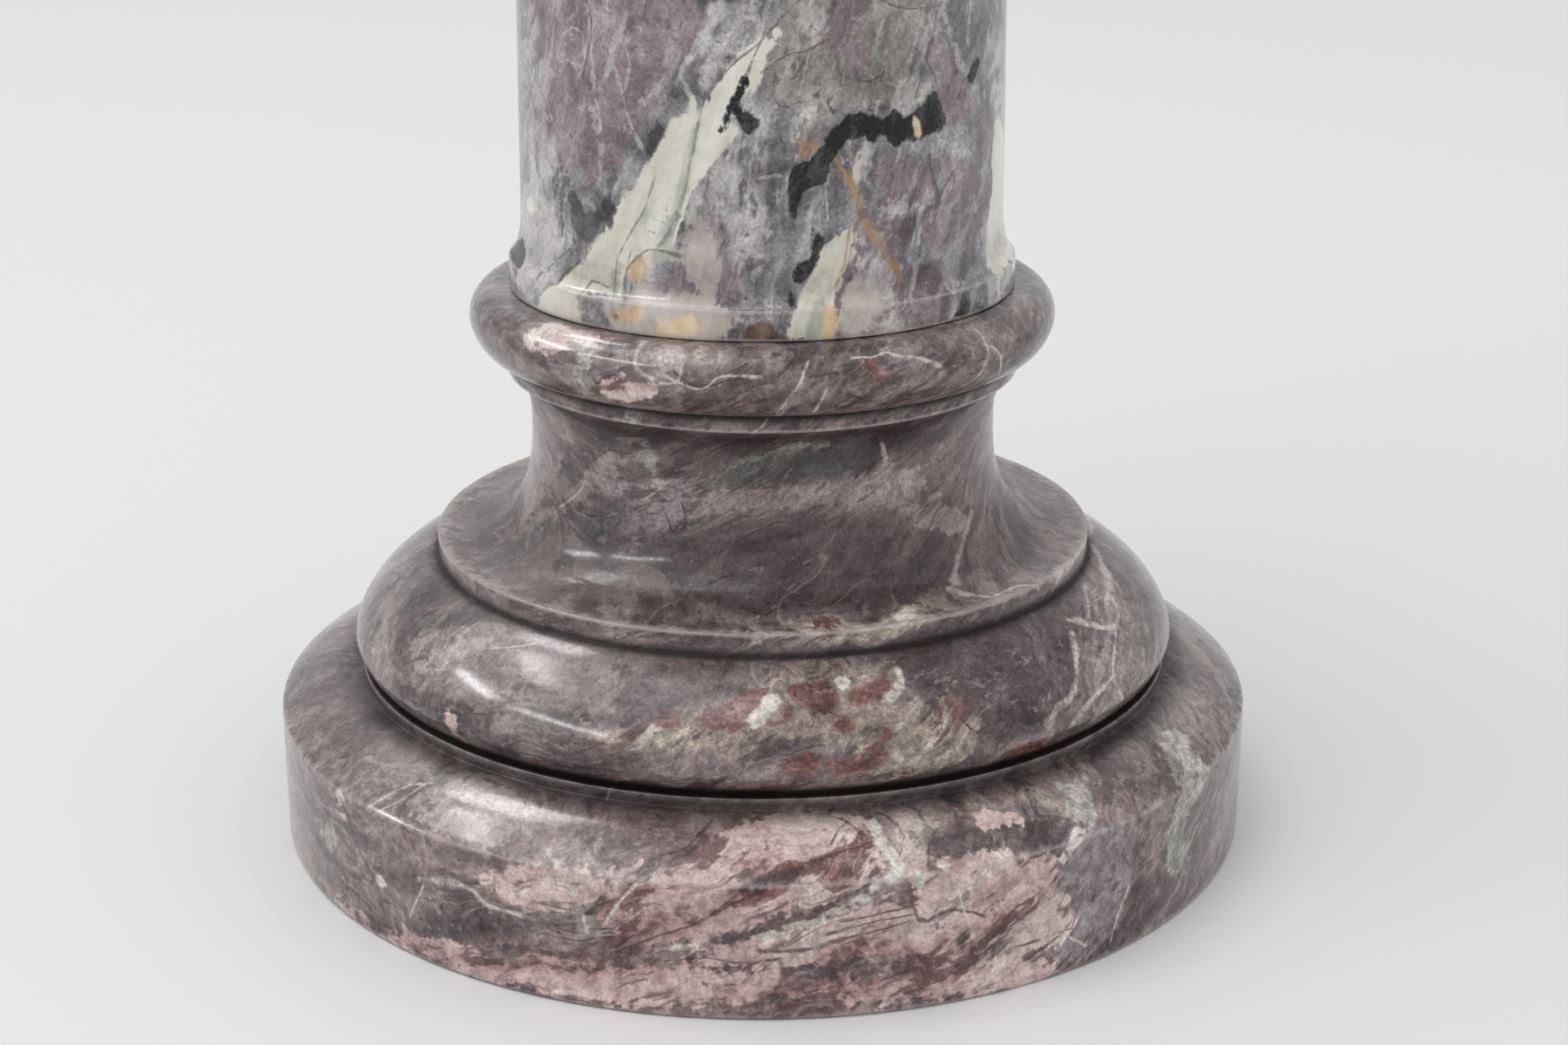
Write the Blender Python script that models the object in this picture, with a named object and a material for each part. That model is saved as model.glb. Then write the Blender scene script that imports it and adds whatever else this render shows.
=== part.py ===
"""Marble column: a turned base, a tapering shaft and a plain round cap.

Each piece is turned round +Z. Its half profile lies in the XZ plane at +X and runs down the
outer side, from the upper bed to the lower bed. Sizes are in metres.
"""

import math

import bmesh
import bpy

# The whole column
COLUMN_HEIGHT = 1.100
BED_JOINT = 0.0003  # the thin line between two stones
TURN_FACETS = 60
SHARP_ANGLE = math.radians(28)

# Base: the round plinth, its wall and its gently bowed shoulder
PLINTH_RADIUS = 0.1800
PLINTH_WALL_HEIGHT = 0.0482
FOOT_EASE = 0.0012
SHOULDER_RISE = 0.0122
SHOULDER_BOW = 0.0024

# Base: the narrow ring and the large torus above it
RING_RADIUS = 0.1498
RING_HEIGHT = 0.0040
RING_LEDGE = 0.0037
TORUS_RADIUS = 0.1518
TORUS_UNDERSIDE_HEIGHT = 0.0082
TORUS_UNDERSIDE_FULLNESS = 1.5
TORUS_BACK_HEIGHT = 0.0298
TORUS_BACK_REACH = 0.0501  # level half axis of the oval that the back follows
TORUS_BACK_FULLNESS = 1.15

# Base: the sharp fillet, the scotia and the neck
LOWER_FILLET_RADIUS = 0.1202
LOWER_FILLET_HEIGHT = 0.0079
SCOTIA_HEIGHT = 0.0438
SCOTIA_FULLNESS = 0.72
NECK_RADIUS = 0.0844
NECK_FLARE_HEIGHT = 0.0171

# Base: the upper fillet and the upper torus
UPPER_FILLET_RADIUS = 0.0927
UPPER_FILLET_HEIGHT = 0.0070
UPPER_TORUS_REACH = 0.0130
UPPER_TORUS_LEDGE = 0.0027
UPPER_TORUS_BACK_HEIGHT = 0.0106
UPPER_TORUS_UNDERSIDE_HEIGHT = 0.0131
UPPER_TORUS_UNDERSIDE_FULLNESS = 1.15

# Shaft
SHAFT_FOOT_RADIUS = 0.0862
SHAFT_TAPER = 0.0105  # metres of radius lost for each metre of height
SHAFT_BAND_REACH = 0.0047
FOOT_BAND_HEIGHT = 0.0103
FOOT_SWEEP_HEIGHT = 0.0167
HEAD_BAND_HEIGHT = 0.0080
HEAD_SWEEP_HEIGHT = 0.0140

# Cap
ASTRAGAL_REACH = 0.0050
ASTRAGAL_HEIGHT = 0.0120
CAP_FILLET_HEIGHT = 0.0040
CAP_FLARE_HEIGHT = 0.0260
CAP_FLARE_REACH = 0.0330
SLAB_LEDGE = 0.0060
SLAB_HEIGHT = 0.0220
SLAB_EASE = 0.0012


def lerp(a, b, share):
    return a + (b - a) * share


def sweep(start, end, upright_first, steps, fullness=1.0):
    """A quarter of an ellipse between two (radius, z) points, without its start.

    The curve is upright at its start and level at its end, or the other way round. A fullness of
    1 is the true ellipse, less is squarer and more is flatter.
    """
    points = []
    for step in range(1, steps + 1):
        turn = math.radians(90) * step / steps
        rising = math.sin(turn) ** fullness
        falling = 1 - max(math.cos(turn), 0) ** fullness
        across, along = (falling, rising) if upright_first else (rising, falling)
        points.append((lerp(start[0], end[0], across), lerp(start[1], end[1], along)))
    return points


def bow(start, end, rise, steps):
    """A circular arc between two (radius, z) points that bulges outwards, without its start."""
    run, drop = end[0] - start[0], end[1] - start[1]
    chord = math.hypot(run, drop)
    radius = (chord * chord / 4 + rise * rise) / (2 * rise)
    half = math.asin(chord / 2 / radius)
    points = []
    for step in range(1, steps + 1):
        turn = lerp(-half, half, step / steps)
        along = 0.5 + radius * math.sin(turn) / chord
        out = radius * math.cos(turn) - radius + rise
        points.append(
            (start[0] + run * along - drop / chord * out, start[1] + drop * along + run / chord * out)
        )
    return points


# Levels of the base, from the floor up
SHOULDER_TOP_Z = PLINTH_WALL_HEIGHT + SHOULDER_RISE
RING_TOP_Z = SHOULDER_TOP_Z + RING_HEIGHT
TORUS_BULGE_Z = RING_TOP_Z + TORUS_UNDERSIDE_HEIGHT
TORUS_TOP_Z = TORUS_BULGE_Z + TORUS_BACK_HEIGHT
LOWER_FILLET_TOP_Z = TORUS_TOP_Z + LOWER_FILLET_HEIGHT
NECK_Z = LOWER_FILLET_TOP_Z + SCOTIA_HEIGHT
NECK_FLARE_TOP_Z = NECK_Z + NECK_FLARE_HEIGHT
UPPER_FILLET_TOP_Z = NECK_FLARE_TOP_Z + UPPER_FILLET_HEIGHT
UPPER_TORUS_BULGE_Z = UPPER_FILLET_TOP_Z + UPPER_TORUS_UNDERSIDE_HEIGHT
BASE_TOP_Z = UPPER_TORUS_BULGE_Z + UPPER_TORUS_BACK_HEIGHT

# Levels of the shaft and the cap
SHAFT_FOOT_Z = BASE_TOP_Z + BED_JOINT
CAP_HEIGHT = ASTRAGAL_HEIGHT + CAP_FILLET_HEIGHT + CAP_FLARE_HEIGHT + SLAB_HEIGHT
CAP_FOOT_Z = COLUMN_HEIGHT - CAP_HEIGHT
SHAFT_TOP_Z = CAP_FOOT_Z - BED_JOINT
SHAFT_HEAD_RADIUS = SHAFT_FOOT_RADIUS - SHAFT_TAPER * (SHAFT_TOP_Z - SHAFT_FOOT_Z)
HEAD_BAND_RADIUS = SHAFT_HEAD_RADIUS + SHAFT_BAND_REACH


def base_profile():
    torus_mid_radius = UPPER_FILLET_RADIUS + UPPER_TORUS_LEDGE
    torus_edge = (UPPER_FILLET_RADIUS + UPPER_TORUS_REACH, UPPER_TORUS_BULGE_Z)
    torus_foot = (torus_mid_radius, UPPER_FILLET_TOP_Z)
    points = [(0, BASE_TOP_Z), (torus_mid_radius, BASE_TOP_Z)]
    points += sweep(points[-1], torus_edge, False, 5)
    points += sweep(torus_edge, torus_foot, True, 5, UPPER_TORUS_UNDERSIDE_FULLNESS)
    points += [(UPPER_FILLET_RADIUS, UPPER_FILLET_TOP_Z), (UPPER_FILLET_RADIUS, NECK_FLARE_TOP_Z)]
    points += sweep(points[-1], (NECK_RADIUS, NECK_Z), False, 4)
    points += sweep(points[-1], (LOWER_FILLET_RADIUS, LOWER_FILLET_TOP_Z), True, 8, SCOTIA_FULLNESS)
    points += [(LOWER_FILLET_RADIUS, TORUS_TOP_Z)]
    points += torus_back()
    ledge_back = (RING_RADIUS - RING_LEDGE, RING_TOP_Z)
    points += sweep(points[-1], ledge_back, True, 4, TORUS_UNDERSIDE_FULLNESS)
    points += [(RING_RADIUS, RING_TOP_Z), (RING_RADIUS, SHOULDER_TOP_Z)]
    points += bow(points[-1], (PLINTH_RADIUS, PLINTH_WALL_HEIGHT), SHOULDER_BOW, 4)
    points += [(PLINTH_RADIUS, FOOT_EASE), (PLINTH_RADIUS - FOOT_EASE, 0), (0, 0)]
    return points


def torus_back(steps=7):
    """The upper side of the large torus, from the foot of the lower fillet out to the bulge.

    It is the outer part of an oval whose middle lies inside the fillet, so it meets the fillet
    on a slope.
    """
    middle_radius = TORUS_RADIUS - TORUS_BACK_REACH
    fillet_share = (LOWER_FILLET_RADIUS - middle_radius) / TORUS_BACK_REACH
    widest_turn = math.acos(fillet_share ** (1 / TORUS_BACK_FULLNESS))
    oval_height = TORUS_BACK_HEIGHT / math.sin(widest_turn) ** TORUS_BACK_FULLNESS
    points = []
    for step in range(1, steps + 1):
        turn = lerp(widest_turn, 0, step / steps)
        radius = middle_radius + TORUS_BACK_REACH * math.cos(turn) ** TORUS_BACK_FULLNESS
        height = oval_height * math.sin(turn) ** TORUS_BACK_FULLNESS
        points.append((radius, TORUS_BULGE_Z + height))
    return points


def shaft_profile():
    foot_band_radius = SHAFT_FOOT_RADIUS + SHAFT_BAND_REACH
    foot_band_z = SHAFT_FOOT_Z + FOOT_BAND_HEIGHT
    head_band_z = SHAFT_TOP_Z - HEAD_BAND_HEIGHT
    points = [(0, SHAFT_TOP_Z), (HEAD_BAND_RADIUS, SHAFT_TOP_Z), (HEAD_BAND_RADIUS, head_band_z)]
    points += sweep(points[-1], (SHAFT_HEAD_RADIUS, head_band_z - HEAD_SWEEP_HEIGHT), False, 4)
    points += [(SHAFT_FOOT_RADIUS, foot_band_z + FOOT_SWEEP_HEIGHT)]
    points += sweep(points[-1], (foot_band_radius, foot_band_z), True, 4)
    points += [(foot_band_radius, SHAFT_FOOT_Z), (0, SHAFT_FOOT_Z)]
    return points


def cap_profile():
    flare_radius = HEAD_BAND_RADIUS + CAP_FLARE_REACH
    slab_radius = flare_radius + SLAB_LEDGE
    slab_foot_z = COLUMN_HEIGHT - SLAB_HEIGHT
    fillet_foot_z = CAP_FOOT_Z + ASTRAGAL_HEIGHT
    fillet_top_z = fillet_foot_z + CAP_FILLET_HEIGHT
    astragal_edge = (HEAD_BAND_RADIUS + ASTRAGAL_REACH, CAP_FOOT_Z + ASTRAGAL_HEIGHT / 2)
    points = [(0, COLUMN_HEIGHT), (slab_radius - SLAB_EASE, COLUMN_HEIGHT)]
    points += [(slab_radius, COLUMN_HEIGHT - SLAB_EASE), (slab_radius, slab_foot_z)]
    points += [(flare_radius, slab_foot_z)]
    points += sweep(points[-1], (HEAD_BAND_RADIUS, fillet_top_z), False, 6)
    points += [(HEAD_BAND_RADIUS, fillet_foot_z)]
    points += sweep(points[-1], astragal_edge, False, 3)
    points += sweep(astragal_edge, (HEAD_BAND_RADIUS, CAP_FOOT_Z), True, 3)
    points += [(0, CAP_FOOT_Z)]
    return points


def turned(name, profile, material):
    """One stone turned from its half profile, closed on the axis at both beds."""
    mesh = bpy.data.meshes.new(name)
    bm = bmesh.new()
    verts = [bm.verts.new((radius, 0, z)) for radius, z in profile]
    edges = [bm.edges.new(pair) for pair in zip(verts, verts[1:])]
    bmesh.ops.spin(
        bm,
        geom=verts + edges,
        cent=(0, 0, 0),
        axis=(0, 0, 1),
        angle=math.tau,
        steps=TURN_FACETS,
        use_merge=True,
    )
    bmesh.ops.remove_doubles(bm, verts=bm.verts, dist=1e-6)
    bmesh.ops.recalc_face_normals(bm, faces=bm.faces)
    bm.to_mesh(mesh)
    bm.free()
    mesh.shade_smooth()
    mesh.set_sharp_from_angle(angle=SHARP_ANGLE)
    mesh.materials.append(material)
    stone = bpy.data.objects.new(name, mesh)
    bpy.context.scene.collection.objects.link(stone)
    return stone


def polished_marble(name, color, roughness):
    material = bpy.data.materials.new(name)
    material.use_nodes = True
    shader = material.node_tree.nodes["Principled BSDF"]
    shader.inputs["Base Color"].default_value = (*color, 1)
    shader.inputs["Roughness"].default_value = roughness
    shader.inputs["Metallic"].default_value = 0
    return material


def main():
    for obj in list(bpy.data.objects):
        bpy.data.objects.remove(obj)
    turned("base", base_profile(), polished_marble("plum_marble", (0.17, 0.11, 0.11), 0.22))
    turned("shaft", shaft_profile(), polished_marble("breccia_marble", (0.34, 0.29, 0.30), 0.20))
    turned("cap", cap_profile(), polished_marble("cap_plum_marble", (0.17, 0.11, 0.11), 0.22))


main()
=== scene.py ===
"""The looks of a polished marble column: three turned stones, their veining, the light and the camera.

Sizes are in metres. Points of the veining are read off the 1800 by 1200 photograph, and each is
carried along its line of sight on to the turned stone, so the veining lies on the stone itself.
"""

import math

import bmesh
import bpy
import numpy as np
from mathutils import Euler, Matrix, Vector


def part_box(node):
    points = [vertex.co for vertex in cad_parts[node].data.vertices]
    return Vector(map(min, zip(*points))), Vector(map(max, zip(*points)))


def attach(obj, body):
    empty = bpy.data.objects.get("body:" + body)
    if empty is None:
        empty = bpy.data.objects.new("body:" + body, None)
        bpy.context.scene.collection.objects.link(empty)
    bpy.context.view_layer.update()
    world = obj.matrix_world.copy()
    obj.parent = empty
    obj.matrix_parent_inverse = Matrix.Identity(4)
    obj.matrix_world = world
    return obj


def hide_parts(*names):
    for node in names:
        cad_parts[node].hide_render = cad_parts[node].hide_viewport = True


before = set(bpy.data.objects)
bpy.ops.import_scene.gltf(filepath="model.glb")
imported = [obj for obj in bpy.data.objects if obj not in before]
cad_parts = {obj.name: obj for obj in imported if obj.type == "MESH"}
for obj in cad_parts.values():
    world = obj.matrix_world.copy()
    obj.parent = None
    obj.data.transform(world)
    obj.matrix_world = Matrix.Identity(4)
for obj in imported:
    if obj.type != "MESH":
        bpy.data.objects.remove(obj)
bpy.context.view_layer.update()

# Camera of the photograph
PHOTO_WIDTH, PHOTO_HEIGHT = 1800, 1200
SENSOR_MM = 36.0
LENS_MM = 61.26
CAMERA_PLACE = Vector((0, -0.9407, 0.4325))
CAMERA_PITCH = math.radians(-19.03)
CAMERA_YAW = math.radians(-0.475)

# Turning: steps round a stone, steps along its profile, and the ease of its arrises
TURN_STEPS = 360
SECTORS = 12
RUN_STEP = 0.004
HIDDEN_RUN_STEP = 0.03
ARRIS_SUPPORT = 0.0016
ARRIS_EASE = 0.0006
ARRIS_ANGLE = math.radians(24)

# Lines of sight: the levels that a stone's radius is kept at, and the stretch searched along a line
LEVEL_STEP = 0.0001
SIGHT_NEAR, SIGHT_FAR, SIGHT_STEP = 0.6, 1.5, 0.0004
BATCH_SIZE = 2000

# How far round a traced vein or patch its distance is worked out, and how veins share out on layers
VEIN_REACH = 0.015
VEIN_LAYERS = 4
VEIN_CLEARANCE = 0.010
VEIN_FADE_START, VEIN_FADE_END = 0.0030, 0.0050

# How far about a spot of the profile its hollow or its arris is felt, and the painted shade on the ring's
# face under the torus
HOLLOW_REACHES = (0.0022, 0.0045, 0.0080, 0.0140)
EDGE_REACH = 0.0012
HOLLOW_STEP = 0.0004
HOLLOW_DIRECTIONS = 48
RING_SHADE = 0.094
RING_SHADE_DROP = 0.0022

# Turns of the two marbles' bedding
PLUM_BEDDING = (math.radians(-20), math.radians(21), 0)
BRECCIA_BEDDING = (math.radians(14), math.radians(76), 0)

# Levels and radii of the base, as the solids have them
PLINTH_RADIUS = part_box("base")[1].x
PLINTH_WALL_HEIGHT = 0.0482
FOOT_EASE = 0.0012
SHOULDER_RISE = 0.0122
SHOULDER_BOW = 0.0024
RING_RADIUS = 0.1498
RING_HEIGHT = 0.0040
RING_LEDGE = 0.0037
RING_FOOT_Z = PLINTH_WALL_HEIGHT + SHOULDER_RISE
RING_TOP_Z = RING_FOOT_Z + RING_HEIGHT
TORUS_RADIUS = 0.1518
TORUS_UNDERSIDE_HEIGHT = 0.0082
TORUS_UNDERSIDE_FULLNESS = 1.5
TORUS_BACK_HEIGHT = 0.0298
TORUS_BACK_REACH = 0.0501
TORUS_BACK_FULLNESS = 1.15
LOWER_FILLET_RADIUS = 0.1202
LOWER_FILLET_HEIGHT = 0.0079
SCOTIA_HEIGHT = 0.0438
SCOTIA_FULLNESS = 0.72
NECK_RADIUS = 0.0844
NECK_FLARE_HEIGHT = 0.0171
UPPER_FILLET_RADIUS = 0.0927
UPPER_FILLET_HEIGHT = 0.0070
UPPER_TORUS_REACH = 0.0130
UPPER_TORUS_LEDGE = 0.0027
UPPER_TORUS_UNDERSIDE_HEIGHT = 0.0131
UPPER_TORUS_UNDERSIDE_FULLNESS = 1.15
BASE_TOP_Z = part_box("base")[1].z

# Shaft and cap
SHAFT_FOOT_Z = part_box("shaft")[0].z
SHAFT_TOP_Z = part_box("shaft")[1].z
SHAFT_FOOT_RADIUS = 0.0862
SHAFT_TAPER = 0.0105
SHAFT_BAND_REACH = 0.0047
FOOT_BAND_HEIGHT = 0.0103
FOOT_SWEEP_HEIGHT = 0.0167
HEAD_BAND_HEIGHT = 0.0080
HEAD_SWEEP_HEIGHT = 0.0140
SHAFT_HEAD_RADIUS = SHAFT_FOOT_RADIUS - SHAFT_TAPER * (SHAFT_TOP_Z - SHAFT_FOOT_Z)
HEAD_BAND_RADIUS = SHAFT_HEAD_RADIUS + SHAFT_BAND_REACH
CAP_FOOT_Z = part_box("cap")[0].z
CAP_TOP_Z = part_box("cap")[1].z
SLAB_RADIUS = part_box("cap")[1].x
ASTRAGAL_REACH = 0.0050
ASTRAGAL_HEIGHT = 0.0120
CAP_FILLET_HEIGHT = 0.0040
SLAB_LEDGE = 0.0060
SLAB_HEIGHT = 0.0220
SLAB_EASE = 0.0012

# The level that the room's windows face
WINDOW_AIM_Z = 0.12


def lerp(a, b, share):
    """The number that lies this share of the way from a to b."""
    return a + (b - a) * share


def run(start, end, step_length=RUN_STEP):
    """A straight stretch of profile, with close points at its ends so that an arris shades crisply."""
    length = math.dist(start, end)
    if length < 4 * ARRIS_SUPPORT:
        return [end]
    inner = length - 2 * ARRIS_SUPPORT
    count = max(1, round(inner / step_length))
    marks = [ARRIS_SUPPORT + inner * step / count for step in range(count + 1)] + [length]
    return [tuple(lerp(a, b, mark / length) for a, b in zip(start, end)) for mark in marks]


def sweep(start, end, upright_first, steps, fullness=1.0):
    """A quarter of an ellipse between two (radius, z) points, upright at one end and level at the other."""
    points = []
    for step in range(1, steps + 1):
        turn = math.radians(90) * step / steps
        rising = math.sin(turn) ** fullness
        falling = 1 - max(math.cos(turn), 0) ** fullness
        across, along = (falling, rising) if upright_first else (rising, falling)
        points.append((lerp(start[0], end[0], across), lerp(start[1], end[1], along)))
    return points


def bow(start, end, rise, steps):
    """A circular arc between two (radius, z) points that bulges outwards."""
    run_out, drop = end[0] - start[0], end[1] - start[1]
    chord = math.hypot(run_out, drop)
    radius = (chord * chord / 4 + rise * rise) / (2 * rise)
    half = math.asin(chord / 2 / radius)
    points = []
    for step in range(1, steps + 1):
        turn = lerp(-half, half, step / steps)
        along = 0.5 + radius * math.sin(turn) / chord
        out = radius * math.cos(turn) - radius + rise
        across = start[0] + run_out * along - drop / chord * out
        points.append((across, start[1] + drop * along + run_out / chord * out))
    return points


def torus_back(bulge_z, steps=22):
    """The upper side of the large torus: the outer part of an oval that starts inside the fillet."""
    middle_radius = TORUS_RADIUS - TORUS_BACK_REACH
    fillet_share = (LOWER_FILLET_RADIUS - middle_radius) / TORUS_BACK_REACH
    widest_turn = math.acos(fillet_share ** (1 / TORUS_BACK_FULLNESS))
    oval_height = TORUS_BACK_HEIGHT / math.sin(widest_turn) ** TORUS_BACK_FULLNESS
    points = []
    for step in range(1, steps + 1):
        turn = lerp(widest_turn, 0, step / steps)
        radius = middle_radius + TORUS_BACK_REACH * math.cos(turn) ** TORUS_BACK_FULLNESS
        points.append((radius, bulge_z + oval_height * math.sin(turn) ** TORUS_BACK_FULLNESS))
    return points


def base_profile():
    """The base's half profile, from the middle of its seat, down its mouldings, to the middle of its foot."""
    bulge_z = RING_TOP_Z + TORUS_UNDERSIDE_HEIGHT
    torus_top_z = bulge_z + TORUS_BACK_HEIGHT
    lower_fillet_top_z = torus_top_z + LOWER_FILLET_HEIGHT
    neck_z = lower_fillet_top_z + SCOTIA_HEIGHT
    flare_top_z = neck_z + NECK_FLARE_HEIGHT
    upper_fillet_top_z = flare_top_z + UPPER_FILLET_HEIGHT
    torus_mid = UPPER_FILLET_RADIUS + UPPER_TORUS_LEDGE
    upper_edge = (UPPER_FILLET_RADIUS + UPPER_TORUS_REACH, upper_fillet_top_z + UPPER_TORUS_UNDERSIDE_HEIGHT)
    points = [(0, BASE_TOP_Z)] + run((0, BASE_TOP_Z), (torus_mid, BASE_TOP_Z), HIDDEN_RUN_STEP)
    points += sweep(points[-1], upper_edge, False, 12)
    points += sweep(
        upper_edge, (torus_mid, upper_fillet_top_z), True, 12, UPPER_TORUS_UNDERSIDE_FULLNESS
    )
    points += [(UPPER_FILLET_RADIUS, upper_fillet_top_z)]
    points += run(points[-1], (UPPER_FILLET_RADIUS, flare_top_z))
    points += sweep(points[-1], (NECK_RADIUS, neck_z), False, 10)
    points += sweep(points[-1], (LOWER_FILLET_RADIUS, lower_fillet_top_z), True, 22, SCOTIA_FULLNESS)
    points += run(points[-1], (LOWER_FILLET_RADIUS, torus_top_z))
    points += torus_back(bulge_z)
    points += sweep(points[-1], (RING_RADIUS - RING_LEDGE, RING_TOP_Z), True, 8, TORUS_UNDERSIDE_FULLNESS)
    points += [(RING_RADIUS, RING_TOP_Z), (RING_RADIUS, RING_FOOT_Z)]
    points += bow(points[-1], (PLINTH_RADIUS, PLINTH_WALL_HEIGHT), SHOULDER_BOW, 12)
    points += run(points[-1], (PLINTH_RADIUS, FOOT_EASE))
    points += [(PLINTH_RADIUS - FOOT_EASE, 0)] + run((PLINTH_RADIUS - FOOT_EASE, 0), (0, 0), HIDDEN_RUN_STEP)
    return points


def shaft_profile():
    """The shaft's half profile, from the middle of its top down to the middle of its joint."""
    foot_band_radius = SHAFT_FOOT_RADIUS + SHAFT_BAND_REACH
    foot_band_z = SHAFT_FOOT_Z + FOOT_BAND_HEIGHT
    head_band_z = SHAFT_TOP_Z - HEAD_BAND_HEIGHT
    points = [(0, SHAFT_TOP_Z)] + run((0, SHAFT_TOP_Z), (HEAD_BAND_RADIUS, SHAFT_TOP_Z), HIDDEN_RUN_STEP)
    points += run(points[-1], (HEAD_BAND_RADIUS, head_band_z))
    points += sweep(points[-1], (SHAFT_HEAD_RADIUS, head_band_z - HEAD_SWEEP_HEIGHT), False, 10)
    points += run(points[-1], (SHAFT_FOOT_RADIUS, foot_band_z + FOOT_SWEEP_HEIGHT))
    points += sweep(points[-1], (foot_band_radius, foot_band_z), True, 10)
    points += run(points[-1], (foot_band_radius, SHAFT_FOOT_Z))
    points += run(points[-1], (0, SHAFT_FOOT_Z), HIDDEN_RUN_STEP)
    return points


def cap_profile():
    """The cap's half profile, from the middle of its slab down to the middle of its joint."""
    flare_radius = SLAB_RADIUS - SLAB_LEDGE
    slab_foot_z = CAP_TOP_Z - SLAB_HEIGHT
    fillet_foot_z = CAP_FOOT_Z + ASTRAGAL_HEIGHT
    fillet_top_z = fillet_foot_z + CAP_FILLET_HEIGHT
    astragal_edge = (HEAD_BAND_RADIUS + ASTRAGAL_REACH, CAP_FOOT_Z + ASTRAGAL_HEIGHT / 2)
    points = [(0, CAP_TOP_Z)] + run((0, CAP_TOP_Z), (SLAB_RADIUS - SLAB_EASE, CAP_TOP_Z))
    points += [(SLAB_RADIUS, CAP_TOP_Z - SLAB_EASE)]
    points += run(points[-1], (SLAB_RADIUS, slab_foot_z))
    points += run(points[-1], (flare_radius, slab_foot_z))
    points += sweep(points[-1], (HEAD_BAND_RADIUS, fillet_top_z), False, 16)
    points += [(HEAD_BAND_RADIUS, fillet_foot_z)]
    points += sweep(points[-1], astragal_edge, False, 8)
    points += sweep(astragal_edge, (HEAD_BAND_RADIUS, CAP_FOOT_Z), True, 8)
    points += run(points[-1], (0, CAP_FOOT_Z), HIDDEN_RUN_STEP)
    return points


def turned(name, profile):
    """One stone turned from its half profile, with every arris eased."""
    bm = bmesh.new()
    verts = [bm.verts.new((radius, 0, z)) for radius, z in profile]
    edges = [bm.edges.new(pair) for pair in zip(verts, verts[1:])]
    sector = math.tau / SECTORS
    bmesh.ops.spin(
        bm,
        geom=verts + edges,
        cent=(0, 0, 0),
        axis=(0, 0, 1),
        angle=sector,
        steps=TURN_STEPS // SECTORS,
    )
    first = bm.verts[:] + bm.edges[:] + bm.faces[:]
    for place in range(1, SECTORS):
        copy = bmesh.ops.duplicate(bm, geom=first)["geom"]
        moved = [part for part in copy if isinstance(part, bmesh.types.BMVert)]
        bmesh.ops.rotate(bm, verts=moved, cent=(0, 0, 0), matrix=Matrix.Rotation(sector * place, 3, "Z"))
    bmesh.ops.remove_doubles(bm, verts=bm.verts, dist=1e-6)
    bmesh.ops.recalc_face_normals(bm, faces=bm.faces)
    arrises = [e for e in bm.edges if e.is_manifold and e.calc_face_angle() > ARRIS_ANGLE]
    bmesh.ops.bevel(
        bm,
        geom=arrises,
        offset=ARRIS_EASE,
        affect="EDGES",
        segments=3,
        profile=0.5,
        material=-1,
        clamp_overlap=True,
    )
    mesh = bpy.data.meshes.new(name)
    bm.to_mesh(mesh)
    bm.free()
    mesh.shade_smooth()
    stone = bpy.data.objects.new(name, mesh)
    bpy.context.scene.collection.objects.link(stone)
    return stone


class Skin:
    """A turned stone's surface as a map: azimuth round it, and the way down along its profile."""

    def __init__(self, profile):
        apart = [here for here, ahead in zip(profile, profile[1:]) if math.dist(here, ahead) > 1e-9]
        self.corners = np.array(apart + [profile[-1]])
        self.strides = np.diff(self.corners, axis=0)
        self.lengths = np.hypot(*self.strides.T)
        self.marks = np.concatenate(([0], np.cumsum(self.lengths)))[:-1]

    def way(self, radii, heights):
        """How far down the profile the nearest point to each radius and height lies."""
        found = []
        stride_out, stride_up = self.strides.T
        batches = math.ceil(len(radii) / BATCH_SIZE)
        for batch in np.array_split(np.arange(len(radii)), batches):
            off_radii = radii[batch, None] - self.corners[:-1, 0]
            off_heights = heights[batch, None] - self.corners[:-1, 1]
            along = off_radii * stride_out + off_heights * stride_up
            share = np.clip(along / self.lengths**2, 0, 1)
            gap = np.hypot(off_radii - share * stride_out, off_heights - share * stride_up)
            best = gap.argmin(axis=1)
            share = share[np.arange(len(best)), best]
            found.append(self.marks[best] + share * self.lengths[best])
        return np.concatenate(found)


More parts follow.
